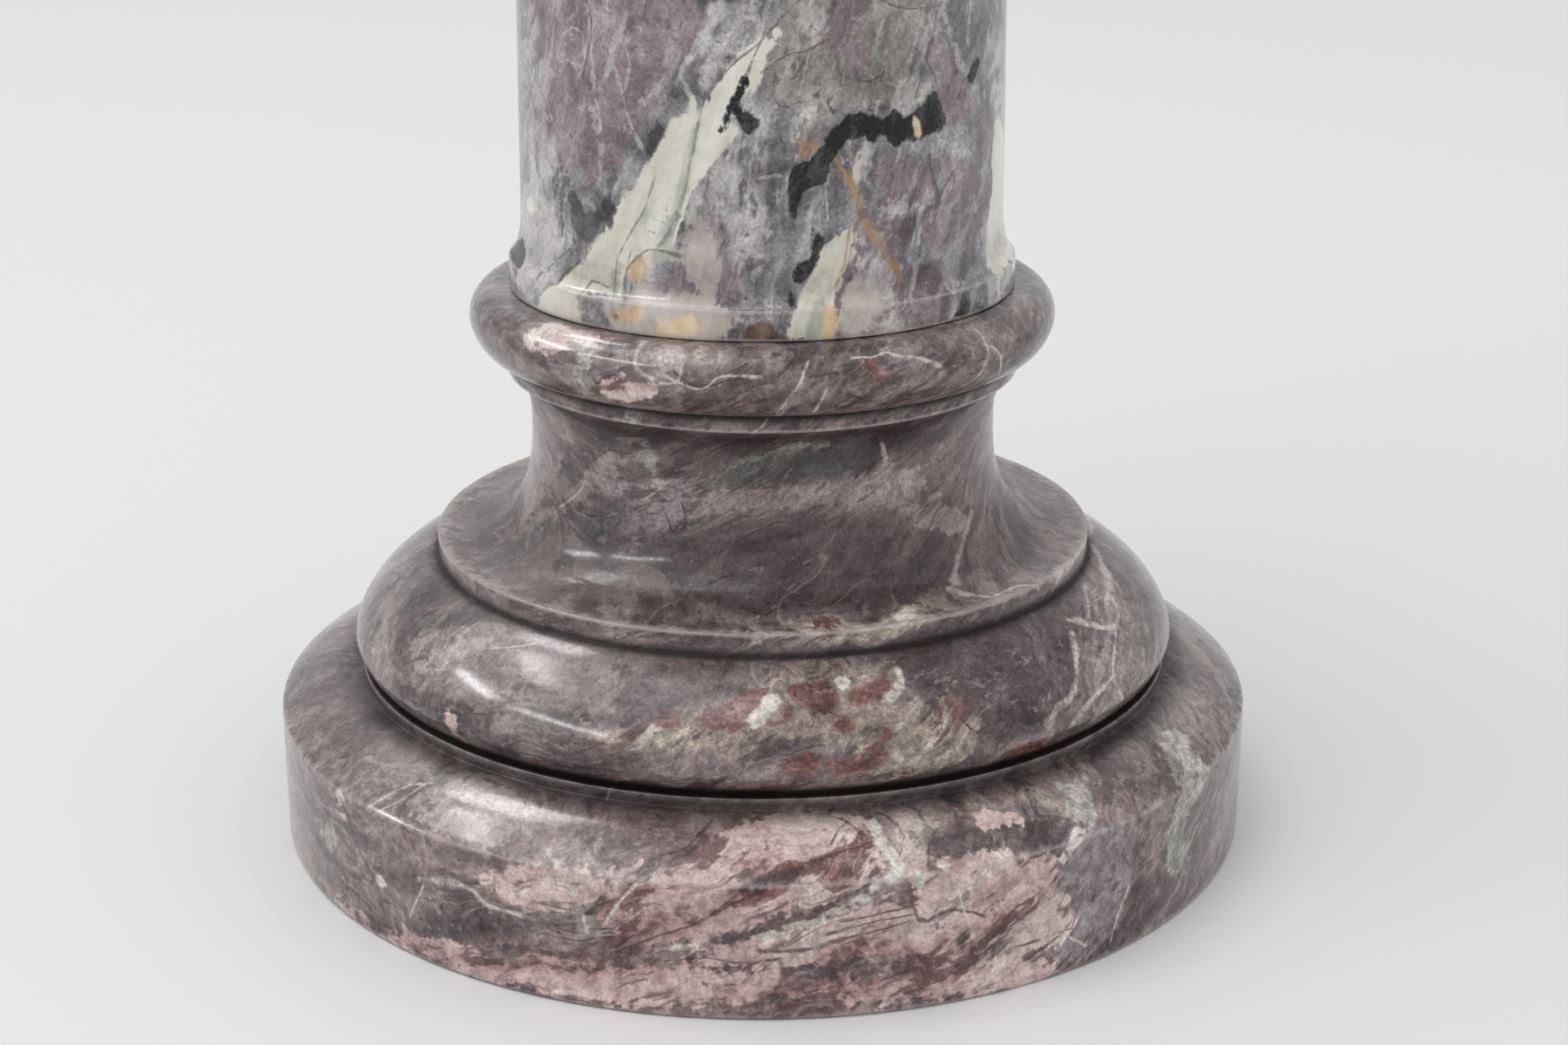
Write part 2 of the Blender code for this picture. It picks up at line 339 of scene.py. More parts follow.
class Sight:
    """Carries a point of the photograph along its line of sight on to a turned stone."""

    def __init__(self, skin):
        self.skin = skin
        self.heights = np.arange(0, CAP_TOP_Z, LEVEL_STEP)
        self.radii = np.zeros_like(self.heights)
        for (r0, z0), (r1, z1) in zip(skin.corners, skin.corners[1:]):
            if abs(z1 - z0) > 1e-7:
                here = (self.heights >= min(z0, z1)) & (self.heights <= max(z0, z1))
                found = r0 + (r1 - r0) * (self.heights[here] - z0) / (z1 - z0)
                self.radii[here] = np.maximum(self.radii[here], found)
        self.turn = Euler((math.pi / 2 + CAMERA_PITCH, 0, CAMERA_YAW)).to_matrix()
        self.steps = np.arange(SIGHT_NEAR, SIGHT_FAR, SIGHT_STEP)

    def spot(self, point):
        """(azimuth, way down) where the stone is met; past its outline it goes on round the side."""
        focal = LENS_MM / SENSOR_MM * PHOTO_WIDTH
        across, up = point[0] - PHOTO_WIDTH / 2, PHOTO_HEIGHT / 2 - point[1]
        aim = (self.turn @ Vector((across, up, -focal))).normalized()
        path = np.array(CAMERA_PLACE) + np.outer(self.steps, np.array(aim))
        gap = np.hypot(path[:, 0], path[:, 1]) - np.interp(path[:, 2], self.heights, self.radii)
        met = (gap <= 0).argmax() if (gap <= 0).any() else gap.argmin()
        x, y, z = path[met]
        reach = math.hypot(x, y)
        past = max(gap[met], 0) / (reach - max(gap[met], 0))
        azimuth = math.atan2(x, -y) + math.copysign(past, x)
        return azimuth, self.skin.way(np.array([reach]), np.array([z]))[0]

    def traced(self, points, closed):
        """The spots of a traced line, rounded off between its points."""
        spots = [self.spot(point) for point in points]
        if closed:
            ahead, behind, last = spots[1:] + spots[:2], [spots[-1]] + spots, len(spots)
        else:
            ahead, behind, last = spots[1:] + spots[-1:] * 2, [spots[0]] + spots, len(spots) - 1
        rounded = []
        for index in range(last):
            a, b, c, d = (np.array(p) for p in (behind[index], spots[index], ahead[index], ahead[index + 1]))
            for share in (0, 1 / 3, 2 / 3):
                rounded.append(
                    b
                    + 0.5 * share * (c - a)
                    + share**2 * (a - 2.5 * b + 2 * c - 0.5 * d)
                    + share**3 * (1.5 * (b - c) + 0.5 * (d - a))
                )
        if not closed:
            rounded.append(np.array(spots[-1]))
        return np.array(rounded)


class Canvas:
    """The points of a turned stone's mesh, laid out for its veining to be worked out on."""

    def __init__(self, stone, skin, copies):
        mesh = stone.data
        places = np.empty(len(mesh.vertices) * 3)
        mesh.vertices.foreach_get("co", places)
        x, y, z = places.reshape(-1, 3).T
        self.mesh = mesh
        self.radii = np.hypot(x, y)
        self.azimuths = np.arctan2(x, -y)
        self.ways = skin.way(self.radii, z)
        self.copies = [(math.radians(turn), -rise, width, lean) for turn, rise, width, lean in copies]

    def near(self, line, turn, drop, width, lean):
        """The points close to a copy of a line that is turned, lowered, widened or mirrored, and leans."""
        azimuths = ((self.azimuths - turn + math.pi) % math.tau - math.pi) / width
        ways = self.ways - drop - lean * azimuths
        low, high = line.min(axis=0) - VEIN_REACH, line.max(axis=0) + VEIN_REACH
        slack = VEIN_REACH / NECK_RADIUS
        close = (azimuths > low[0] - slack) & (azimuths < high[0] + slack)
        close &= (ways > low[1]) & (ways < high[1]) & (self.radii > 0.5 * NECK_RADIUS)
        return np.flatnonzero(close), azimuths[close], ways[close], self.radii[close]

    def write(self, name, kind, values):
        """Keeps the values on the mesh as an attribute of its points."""
        layer = self.mesh.attributes.new(name, kind, "POINT")
        layer.data.foreach_set("value" if kind == "FLOAT" else "vector", values.ravel())

    def lay_patches(self, name, outlines):
        """Writes how deep inside the nearest outline each point is, below zero outside them all."""
        depths = np.full(self.radii.shape, -VEIN_REACH)
        for outline in outlines:
            for copy in self.copies:
                picked, azimuths, ways, radii = self.near(outline, *copy)
                gap = np.full(radii.shape, VEIN_REACH)
                within = np.zeros(radii.shape, bool)
                for (a0, w0), (a1, w1) in zip(outline, np.roll(outline, -1, axis=0)):
                    x0, y0 = (a0 - azimuths) * radii, w0 - ways
                    dx, dy = (a1 - a0) * radii, np.full(radii.shape, w1 - w0)
                    share = np.clip(-(x0 * dx + y0 * dy) / (dx * dx + dy * dy + 1e-12), 0, 1)
                    gap = np.minimum(gap, np.hypot(x0 + share * dx, y0 + share * dy))
                    crossed = (y0 > 0) != (y0 + dy > 0)
                    within ^= crossed & (x0 - y0 * dx / np.where(crossed, dy, 1) > 0)
                depths[picked] = np.maximum(depths[picked], np.where(within, gap, -gap))
        self.write(name, "FLOAT", depths)

    def lay_veins(self, name, veins):
        """Writes, for the nearest vein, the share of its half width across and the distance from it."""
        gaps = np.full(self.radii.shape, VEIN_REACH)
        across = np.full(self.radii.shape, VEIN_REACH / 1e-3)
        for half_width, line in veins:
            for copy in self.copies:
                picked, azimuths, ways, radii = self.near(line, *copy)
                for (a0, w0), (a1, w1) in zip(line, line[1:]):
                    x0, y0 = (a0 - azimuths) * radii, w0 - ways
                    dx, dy = (a1 - a0) * radii, np.full(radii.shape, w1 - w0)
                    share = np.clip(-(x0 * dx + y0 * dy) / (dx * dx + dy * dy + 1e-12), 0, 1)
                    gap = np.hypot(x0 + share * dx, y0 + share * dy)
                    closer = gap < gaps[picked]
                    side = (x0 * dy - y0 * dx) / (np.hypot(dx, dy) + 1e-12)
                    gaps[picked[closer]] = gap[closer]
                    across[picked[closer]] = side[closer] / half_width
        self.write(name, "FLOAT_VECTOR", np.stack((across, gaps, gaps), axis=1))

    def lay_hollows(self, profile):
        """Writes "hollow", above zero in a groove and on the ring's face, where it drives painted shade, and
        "edge", above zero on an arris.
        """
        line = np.array(profile)
        marks = np.concatenate(([0], np.cumsum(np.hypot(*np.diff(line, axis=0).T))))
        spots = np.arange(0, marks[-1], HOLLOW_STEP)
        radii, heights = np.interp(spots, marks, line[:, 0]), np.interp(spots, marks, line[:, 1])
        turns = np.linspace(0, math.tau, HOLLOW_DIRECTIONS, endpoint=False)
        found = []
        for reach in (EDGE_REACH, *HOLLOW_REACHES):
            x = np.abs(radii[:, None] + reach * np.cos(turns))
            y = heights[:, None] + reach * np.sin(turns)
            within = np.zeros(x.shape, bool)
            for (x0, y0), (x1, y1) in zip(line, line[1:]):
                if y0 != y1:
                    crossed = (y0 > y) != (y1 > y)
                    within ^= crossed & (x < x0 + (x1 - x0) * (y - y0) / (y1 - y0))
            found.append(within.mean(axis=1) - 0.5)
        sunk = np.mean(found[1:], axis=0)
        # The ring's face, under the torus, gets an even painted shade, which fades out down the shoulder
        below = np.clip((heights - RING_FOOT_Z) / RING_SHADE_DROP + 1, 0, 1)
        sunk = np.where((below > 0) & (heights < RING_TOP_Z - HOLLOW_STEP), RING_SHADE * below, sunk)
        self.write("hollow", "FLOAT", np.interp(self.ways, spots, sunk))
        self.write("edge", "FLOAT", np.interp(self.ways, spots, -found[0]))


class Value:
    """A shader socket. Arithmetic on it adds the Math nodes that work the answer out."""

    def __init__(self, sheet, socket):
        self.sheet = sheet
        self.socket = socket

    def math(self, operation, *others):
        return self.sheet.node("ShaderNodeMath", {"operation": operation}, self, *others)

    def __add__(self, other):
        return self.math("ADD", other)

    def __mul__(self, other):
        return self.math("MULTIPLY", other)

    def __sub__(self, other):
        return self.math("SUBTRACT", other)

    def __rsub__(self, other):
        return self.sheet.node("ShaderNodeMath", {"operation": "SUBTRACT"}, other, self)

    def __truediv__(self, other):
        return self.math("DIVIDE", other)

    __radd__ = __add__
    __rmul__ = __mul__

    def smooth(self, low, high):
        """0 at low, 1 at high, and a soft step between."""
        return self.sheet.node(
            "ShaderNodeMapRange", {"interpolation_type": "SMOOTHSTEP", "clamp": True}, self, low, high
        )


class Sheet:
    """One material's node sheet."""

    def __init__(self, name):
        self.material = bpy.data.materials.new(name)
        self.material.use_nodes = True
        self.tree = self.material.node_tree
        self.shader = self.tree.nodes["Principled BSDF"]
        self.place = self.node("ShaderNodeTexCoord", {}, output="Object")

    def plug(self, socket, value):
        """Links a value to a socket, or sets the socket to a plain number, colour or vector."""
        if isinstance(value, Value):
            self.tree.links.new(value.socket, socket)
        elif value is not None:
            if socket.type == "RGBA" and len(value) == 3:
                value = (*value, 1)
            socket.default_value = value

    def node(self, kind, settings, *values, output=0, **named):
        """A node of this kind: its settings first, then the values or links of its sockets."""
        made = self.tree.nodes.new(kind)
        for key, setting in settings.items():
            if key == "stops":
                self.set_stops(made.color_ramp, setting)
            else:
                setattr(made, key, setting)
        for socket, value in zip(made.inputs, values):
            self.plug(socket, value)
        for key, value in named.items():
            self.plug(made.inputs[key.replace("_", " ")], value)
        return Value(self, made.outputs[output])

    def set_stops(self, line, stops):
        """Gives a ramp its stops, each a position and a colour."""
        while len(line.elements) < len(stops):
            line.elements.new(0.5)
        for mark, (position, color) in zip(line.elements, stops):
            mark.position = position
            mark.color = (*color, 1)

    def attribute(self, name, output="Fac"):
        """A number or a vector that the stone's mesh carries."""
        return self.node("ShaderNodeAttribute", {"attribute_name": name}, output=output)

    def vector(self, operation, *values, output=0, **named):
        """The answer of this operation on vectors or colours."""
        return self.node("ShaderNodeVectorMath", {"operation": operation}, *values, output=output, **named)

    def separate(self, vector):
        """The three numbers of a vector."""
        first = self.node("ShaderNodeSeparateXYZ", {}, vector)
        return tuple(Value(self, socket) for socket in first.socket.node.outputs)

    def mix(self, under, over, mask):
        """The colour under, covered by the colour over where the mask is 1."""
        between = (None,) * 5
        return self.node("ShaderNodeMix", {"data_type": "RGBA"}, mask, *between, under, over, output=2)

    def noise(self, place, scale, detail, roughness, output="Fac"):
        """A cloudy noise about 0.5, or three of them as a colour."""
        return self.node(
            "ShaderNodeTexNoise",
            {},
            output=output,
            Vector=place,
            Scale=scale,
            Detail=detail,
            Roughness=roughness,
        )

    def warped(self, place, scale, reach, detail):
        """The place, pushed about by at most half of reach."""
        push = self.noise(place, scale, detail, 0.55, output="Color")
        centred = self.vector("SUBTRACT", push, (0.5, 0.5, 0.5))
        return self.vector("ADD", place, self.scaled(centred, reach))

    def scaled(self, color, factor):
        """A colour or a vector, times a number."""
        return self.vector("SCALE", color, Scale=factor)

    def ramp(self, value, stops):
        """A colour that runs through the stops, each a position and a colour."""
        return self.node("ShaderNodeValToRGB", {"stops": stops}, value)

    def cells(self, place, scale):
        """The distance from the nearest of many scattered points."""
        return self.node("ShaderNodeTexVoronoi", {}, output="Distance", Vector=place, Scale=scale)

    def vein(self, name, wobble, thinning, layers=VEIN_LAYERS):
        """1 along the stone's traced veins of this name; the wobble is in shares of a half width."""
        covered = None
        for number in range(layers):
            across, gap, _ = self.separate(self.attribute(f"{name}_{number}", "Vector"))
            drawn = 1 - ((across + wobble) * thinning).math("ABSOLUTE").smooth(0.2, 1.1)
            drawn = drawn * (1 - gap.smooth(VEIN_FADE_START, VEIN_FADE_END))
            covered = drawn if covered is None else covered.math("MAXIMUM", drawn)
        return covered


def make_camera():
    """The photograph's camera."""
    lens = bpy.data.cameras.new("photo_camera")
    lens.lens = LENS_MM
    lens.sensor_width = SENSOR_MM
    camera = bpy.data.objects.new("photo_camera", lens)
    camera.location = CAMERA_PLACE
    camera.rotation_euler = (math.pi / 2 + CAMERA_PITCH, 0, CAMERA_YAW)
    bpy.context.scene.collection.objects.link(camera)
    bpy.context.scene.camera = camera


def window(name, azimuth, elevation, distance, width, height, power, gloss_only=True):
    """A soft window that faces the base. Azimuth 0 is the camera's side and runs round to the right."""
    light = bpy.data.lights.new(name, "AREA")
    light.shape = "RECTANGLE"
    light.size = width
    light.size_y = height
    light.energy = power
    around, above = math.radians(azimuth), math.radians(elevation)
    away = Vector(
        (math.sin(around) * math.cos(above), -math.cos(around) * math.cos(above), math.sin(above))
    )
    lamp = bpy.data.objects.new(name, light)
    lamp.location = Vector((0, 0, WINDOW_AIM_Z)) + away * distance
    lamp.rotation_euler = away.to_track_quat("Z", "Y").to_euler()
    lamp.visible_diffuse = not gloss_only
    bpy.context.scene.collection.objects.link(lamp)


def lit_room():
    """A pale room with one soft window, and panes that only the polish mirrors."""
    world = bpy.data.worlds.new("pale_room")
    world.use_nodes = True
    glow = world.node_tree.nodes["Background"]
    glow.inputs["Color"].default_value = (1, 1, 1, 1)
    glow.inputs["Strength"].default_value = 0.85
    bpy.context.scene.world = world
    window("soft_sky", -64, 68, 6.0, 4.1, 3.4, 100, gloss_only=False)
    window("back_pane", -97, 33.5, 2.6, 0.80, 0.20, 12)
    window("front_pane", -63, 35, 2.6, 1.20, 0.13, 12)
    window("high_pane", -113, 53, 2.6, 0.90, 0.26, 9)
    window("skylight", -146, 52, 2.8, 0.55, 0.60, 12)


def pale_stage():
    """A plain pale floor that curves up into a plain backdrop."""
    bm = bmesh.new()
    half_width, near, turn_start, rise, turn_radius, turn_steps = 9.0, -7.0, 5.0, 6.0, 0.5, 12
    outline = [(near, 0), (turn_start, 0)]
    for step in range(1, turn_steps + 1):
        turn = math.radians(90) * step / turn_steps
        outline.append((turn_start + turn_radius * math.sin(turn), turn_radius * (1 - math.cos(turn))))
    outline.append((turn_start + turn_radius, rise))
    verts = [bm.verts.new((-half_width, y, z)) for y, z in outline]
    edges = [bm.edges.new(pair) for pair in zip(verts, verts[1:])]
    drawn = bmesh.ops.extrude_edge_only(bm, edges=edges)["geom"]
    moved = [part for part in drawn if isinstance(part, bmesh.types.BMVert)]
    bmesh.ops.translate(bm, verts=moved, vec=(2 * half_width, 0, 0))
    bmesh.ops.recalc_face_normals(bm, faces=bm.faces)
    mesh = bpy.data.meshes.new("pale_floor")
    bm.to_mesh(mesh)
    bm.free()
    mesh.shade_smooth()
    floor = bpy.data.objects.new("pale_floor", mesh)
    bpy.context.scene.collection.objects.link(floor)
    sheet = Sheet("painted_floor")
    sheet.plug(sheet.shader.inputs["Base Color"], (0.78, 0.78, 0.78))
    sheet.plug(sheet.shader.inputs["Roughness"], 0.55)
    mesh.materials.append(sheet.material)


# Veining of the shaft, in the photograph's pixels: outlines of patches, then veins, each with half its
# width and its course
SHAFT_PATCHES = {
    "ivory": (
        (
            (774, 133), (800, 133), (812, 116), (822, 98), (846, 70), (868, 50), (892, 34), (900, 40),
            (880, 62), (874, 92), (856, 112), (838, 140), (846, 152), (835, 165), (838, 176), (815, 194),
            (800, 213), (792, 230), (786, 248), (778, 266), (768, 284), (745, 290), (728, 302),
            (716, 325), (716, 345), (690, 342), (668, 336), (664, 350), (668, 382), (640, 368),
            (618, 356), (622, 342), (645, 322), (668, 300), (680, 282), (690, 264), (705, 242),
            (722, 222), (735, 196), (752, 168),
        ),
        (
            (957, 272), (978, 262), (986, 270), (976, 300), (966, 330), (958, 350), (950, 362),
            (944, 388), (905, 391), (908, 372), (915, 350), (925, 325), (935, 305), (942, 285),
        ),
        (
            (1143, 140), (1150, 150), (1156, 190), (1151, 230), (1158, 270), (1153, 310), (1149, 346),
            (1144, 348), (1142, 322), (1133, 300), (1133, 265), (1138, 215), (1139, 170),
        ),
        ((790, 128), (796, 104), (804, 120), (800, 130)),
        ((603, 230), (612, 231), (621, 246), (613, 249)),
        ((978, 182), (986, 160), (989, 186), (984, 214), (978, 204)),
    ),
    "smoke": (
        (
            (784, 231), (807, 227), (818, 261), (822, 286), (818, 309), (804, 330), (785, 320),
            (798, 296), (778, 300), (770, 284), (784, 262),
        ),
        ((1014, 231), (1040, 232), (1059, 216), (1052, 240), (1037, 247), (1022, 246)),
        ((600, 216), (618, 228), (640, 250), (632, 300), (604, 330), (596, 280)),
        ((990, 158), (1008, 166), (1004, 190), (994, 214), (988, 190)),
        ((728, -10), (752, -8), (742, 60), (716, 120), (704, 110), (724, 50)),
        ((850, 8), (868, 4), (846, 50), (812, 96), (806, 86), (830, 46)),
        ((1000, 292), (1030, 300), (1040, 330), (1020, 352), (996, 330)),
        ((860, 240), (884, 250), (880, 300), (866, 330), (856, 290)),
        (
            (840, 152), (850, 158), (838, 190), (826, 216), (838, 240), (848, 270), (848, 310),
            (836, 340), (800, 328), (792, 300), (800, 262), (792, 240), (806, 205), (822, 180),
        ),
    ),
    "pinkish": (
        (
            (690, 342), (722, 338), (778, 336), (837, 357), (844, 375), (832, 394), (748, 390),
            (700, 378), (688, 362),
        ),
        ((970, 330), (1000, 322), (1012, 344), (990, 384), (960, 388), (966, 352)),
        (
            (794, 226), (804, 236), (812, 262), (820, 290), (824, 322), (812, 336), (796, 322),
            (784, 300), (788, 262),
        ),
    ),
    "green_veil": (
        (
            (804, 136), (798, 165), (792, 195), (788, 225), (778, 252), (764, 276), (757, 284),
            (764, 262), (776, 235), (784, 200), (792, 165),
        ),
        ((742, 291), (757, 286), (774, 290), (770, 300), (754, 301)),
        ((716, 300), (708, 318), (712, 345), (700, 345), (700, 320)),
        ((936, 345), (952, 338), (950, 362), (946, 390), (920, 391)),
        ((742, 232), (752, 214), (750, 236), (736, 262), (728, 268)),
    ),
    "slate": (
        ((742, 146), (750, 142), (765, 134), (767, 148), (758, 168), (744, 188), (733, 182), (739, 164)),
        (
            (705, 224), (706, 240), (702, 256), (690, 264), (680, 276), (668, 278), (661, 262),
            (656, 240), (654, 226), (662, 224), (670, 240), (680, 240), (690, 232),
        ),
    ),
    "wine": (
        (
            (1048, 303), (1070, 299), (1081, 315), (1092, 335), (1090, 360), (1075, 374), (1050, 375),
            (1035, 362), (1028, 340), (1031, 318),
        ),
        ((1021, 251), (1035, 259), (1048, 251), (1048, 269), (1035, 282), (1027, 272)),
        ((806, 206), (818, 204), (824, 216), (814, 226), (804, 220)),
        ((820, 262), (832, 258), (838, 276), (830, 284), (820, 278)),
    ),
    "black": (
        (
            (903, 200), (910, 188), (925, 183), (940, 172), (950, 150), (964, 133), (985, 127),
            (1003, 128), (1012, 134), (1025, 127), (1035, 131), (1046, 129), (1058, 125), (1066, 111),
            (1075, 107), (1080, 125), (1084, 146), (1072, 152), (1062, 158), (1045, 159), (1036, 162),
            (1033, 169), (1019, 166), (1013, 155), (1006, 167), (998, 168), (990, 160), (976, 160),
            (968, 172), (956, 185), (950, 200), (945, 214), (936, 214), (926, 222), (916, 245),
            (910, 260), (906, 246), (904, 225),
        ),
        (
            (858, 84), (863, 92), (860, 105), (850, 115), (855, 128), (868, 135), (870, 146), (859, 154),
            (850, 141), (842, 136), (836, 146), (826, 150), (832, 135), (838, 120), (845, 105), (852, 92),
        ),
        ((590, 282), (598, 273), (602, 285), (598, 305), (592, 316), (586, 300)),
        ((934, 256), (938, 268), (948, 275), (944, 284), (937, 291), (929, 286), (932, 272)),
        ((925, 298), (938, 292), (940, 300), (930, 316), (921, 326), (911, 328), (909, 316), (914, 305)),
        ((1108, 334), (1112, 345), (1109, 361), (1100, 371), (1091, 370), (1101, 353), (1103, 341)),
        ((1126, 60), (1123, 80), (1115, 96), (1107, 99), (1111, 85), (1118, 71)),
        ((836, 57), (842, 62), (833, 74), (826, 76), (831, 66)),
        ((904, 330), (912, 334), (914, 352), (907, 354), (902, 344)),
    ),
    "mauve": (
        (
            (606, -10), (720, -12), (800, -10), (812, 20), (796, 60), (776, 90), (752, 122), (738, 150),
            (715, 178), (690, 190), (640, 192), (614, 170), (614, 130), (625, 80), (612, 40),
        ),
        (
            (798, 214), (812, 205), (820, 216), (813, 228), (826, 245), (838, 268), (840, 298),
            (846, 332), (842, 352), (828, 342), (822, 312), (821, 280), (811, 255), (806, 234),
        ),
        ((798, 289), (801, 300), (792, 312), (780, 321), (764, 326), (770, 310), (785, 299)),
        ((758, 318), (780, 325), (800, 324), (825, 328), (838, 346), (810, 351), (770, 349), (750, 335)),
        (
            (1058, 64), (1068, 54), (1080, 53), (1093, 68), (1101, 80), (1109, 99), (1096, 96),
            (1085, 82), (1071, 73),
        ),
        ((1074, 100), (1090, 97), (1111, 105), (1114, 126), (1100, 133), (1086, 141), (1077, 120)),
        ((1062, 199), (1071, 208), (1062, 221), (1050, 233), (1043, 230), (1052, 214)),
        ((1020, 176), (1036, 180), (1046, 196), (1038, 214), (1018, 217), (1002, 206)),
        ((960, 46), (985, 44), (1004, 58), (996, 78), (970, 76)),
        ((974, 84), (994, 88), (1000, 104), (978, 106)),
        ((668, 200), (680, 185), (700, 178), (724, 174), (712, 186), (695, 194), (686, 208), (676, 216)),
        ((978, 348), (990, 336), (1002, 332), (1012, 346), (1005, 368), (984, 370)),
        ((1060, 240), (1078, 236), (1092, 256), (1086, 284), (1066, 282)),
        ((1086, 190), (1106, 186), (1112, 220), (1098, 240), (1084, 218)),
        ((858, 200), (874, 196), (880, 216), (868, 226)),
    ),
    "beige": (
        (
            (870, 52), (900, 8), (940, -12), (1010, -12), (1062, -8), (1056, 60), (1046, 108),
            (1062, 114), (1040, 128), (1005, 124), (965, 131), (946, 150), (926, 180), (911, 180),
            (904, 165), (915, 140), (905, 128), (880, 132), (876, 90),
        ),
        ((985, 330), (1010, 318), (1030, 345), (1024, 372), (985, 384), (962, 386), (968, 352)),
        ((700, 350), (760, 356), (835, 358), (840, 388), (780, 391), (730, 384), (700, 376)),
    ),
    "amber": (
        ((730, 297), (743, 296), (741, 308), (732, 321), (722, 319), (719, 306)),
        ((752, 376), (765, 367), (794, 364), (800, 376), (780, 388), (758, 387)),
        ((698, 360), (720, 352), (736, 354), (730, 366), (706, 368)),
        ((946, 352), (958, 352), (962, 366), (956, 382), (946, 388), (942, 372)),
    ),
    "ochre": (
        ((916, 163), (930, 156), (941, 164), (938, 176), (925, 184), (915, 176)),
        (
            (953, 183), (964, 187), (974, 201), (985, 220), (992, 235), (996, 249), (1007, 268),
            (1018, 283), (1029, 294), (1031, 312), (1018, 301), (1011, 286), (1000, 272), (988, 257),
            (981, 238), (977, 220), (964, 209), (957, 198),
        ),
    ),
    "rust": (
        ((698, 353), (706, 353), (713, 362), (708, 368), (699, 362)),
        ((845, 376), (870, 373), (890, 378), (904, 389), (900, 394), (880, 392), (860, 386), (847, 386)),
    ),
    "cream_chip": (
        ((1046, 131), (1053, 137), (1058, 148), (1056, 158), (1052, 161), (1049, 150)),
        ((734, 27), (737, 32), (737, 40), (734, 43), (733, 34)),
        ((849, 112), (851, 118), (850, 126), (848, 120)),
    ),
}
SHAFT_VEINS = {
    "dark_veins": (
        (1.6, ((902, 16), (884, 36), (868, 52), (846, 68), (832, 84), (822, 96))),
        (1.4, ((873, 48), (862, 74), (856, 92))),
        (1.8, ((600, 44), (601, 60), (606, 71))),
        (2.2, ((607, 86), (610, 108), (615, 128))),
        (1.4, ((884, 76), (904, 62), (922, 60), (942, 50))),
        (1.3, ((889, 92), (888, 116), (896, 122), (914, 119))),
        (1.2, ((1020, 4), (1040, 10), (1070, 8))),
        (1.4, ((1056, 60), (1066, 72), (1074, 94), (1078, 110))),
        (1.8, ((718, 340), (718, 322), (722, 306), (735, 292), (752, 287), (772, 292))),
        (1.4, ((650, 290), (632, 306), (624, 320))),
        (1.8, ((660, 305), (649, 314), (646, 318))),
        (1.8, ((690, 326), (681, 322), (676, 328))),
        (1.4, ((1070, 200), (1078, 230), (1074, 246))),
        (1.4, ((1092, 200), (1082, 216), (1076, 230))),
        (1.2, ((985, 92), (996, 93), (1004, 90))),
        (1.2, ((1128, 40), (1134, 28), (1132, 44))),
        (1.3, ((672, -8), (678, 18), (677, 52), (671, 78))),
    ),
    "pale_veins": (
        (1.8, ((697, -8), (698, 40), (705, 75), (715, 110), (726, 148), (736, 166))),
        (2.2, ((677, -8), (676, 30), (680, 70), (684, 110), (690, 150), (690, 192))),
        (1.6, ((650, 37), (658, 31), (667, 38), (671, 55), (670, 76), (656, 71))),
        (1.0, ((930, 2), (922, 26))),
        (1.0, ((930, 56), (920, 96))),
        (1.6, ((626, 138), (617, 148))),
        (2.4, ((608, 40), (614, 70), (624, 100), (632, 128))),
        (1.4, ((880, 203), (896, 201), (904, 204))),
        (2.2, ((800, 62), (782, 82), (790, 104))),
        (1.6, ((715, 50), (723, 66), (720, 90))),
        (2.0, ((638, 180), (644, 196), (640, 206))),
        (2.0, ((1056, 28), (1048, 58), (1042, 80))),
        (2.0, ((1114, 8), (1112, 38))),
        (2.2, ((1136, 30), (1130, 62), (1130, 100))),
        (2.6, ((1085, 20), (1092, 44), (1100, 70), (1112, 84))),
        (1.6, ((970, 370), (982, 380), (986, 392))),
        (1.4, ((1092, 334), (1098, 350), (1090, 372))),
        (3.0, ((1052, 200), (1046, 214), (1036, 232), (1026, 246))),
        (2.6, ((1062, 228), (1058, 246), (1056, 268))),
        (1.6, ((940, 196), (947, 215), (950, 240))),
    ),
    "green_veins": (
        (2.6, (
            (803, 131), (800, 150), (796, 172), (791, 196), (786, 222), (779, 244), (770, 262),
            (757, 280),
        )),
        (1.8, ((749, 216), (741, 240), (728, 262), (716, 282), (708, 300), (706, 320), (704, 342))),
        (1.6, ((722, 300), (717, 320), (716, 344))),
        (1.5, ((756, 284), (742, 286), (728, 292), (719, 302))),
    ),
    "ochre_veins": (
        (2.2, ((962, 186), (975, 205), (984, 228), (990, 250), (1000, 266), (1014, 288), (1030, 314))),
        (2.2, ((973, 276), (971, 300), (964, 318))),
        (1.4, ((990, 248), (1006, 250), (1018, 262))),
    ),
}

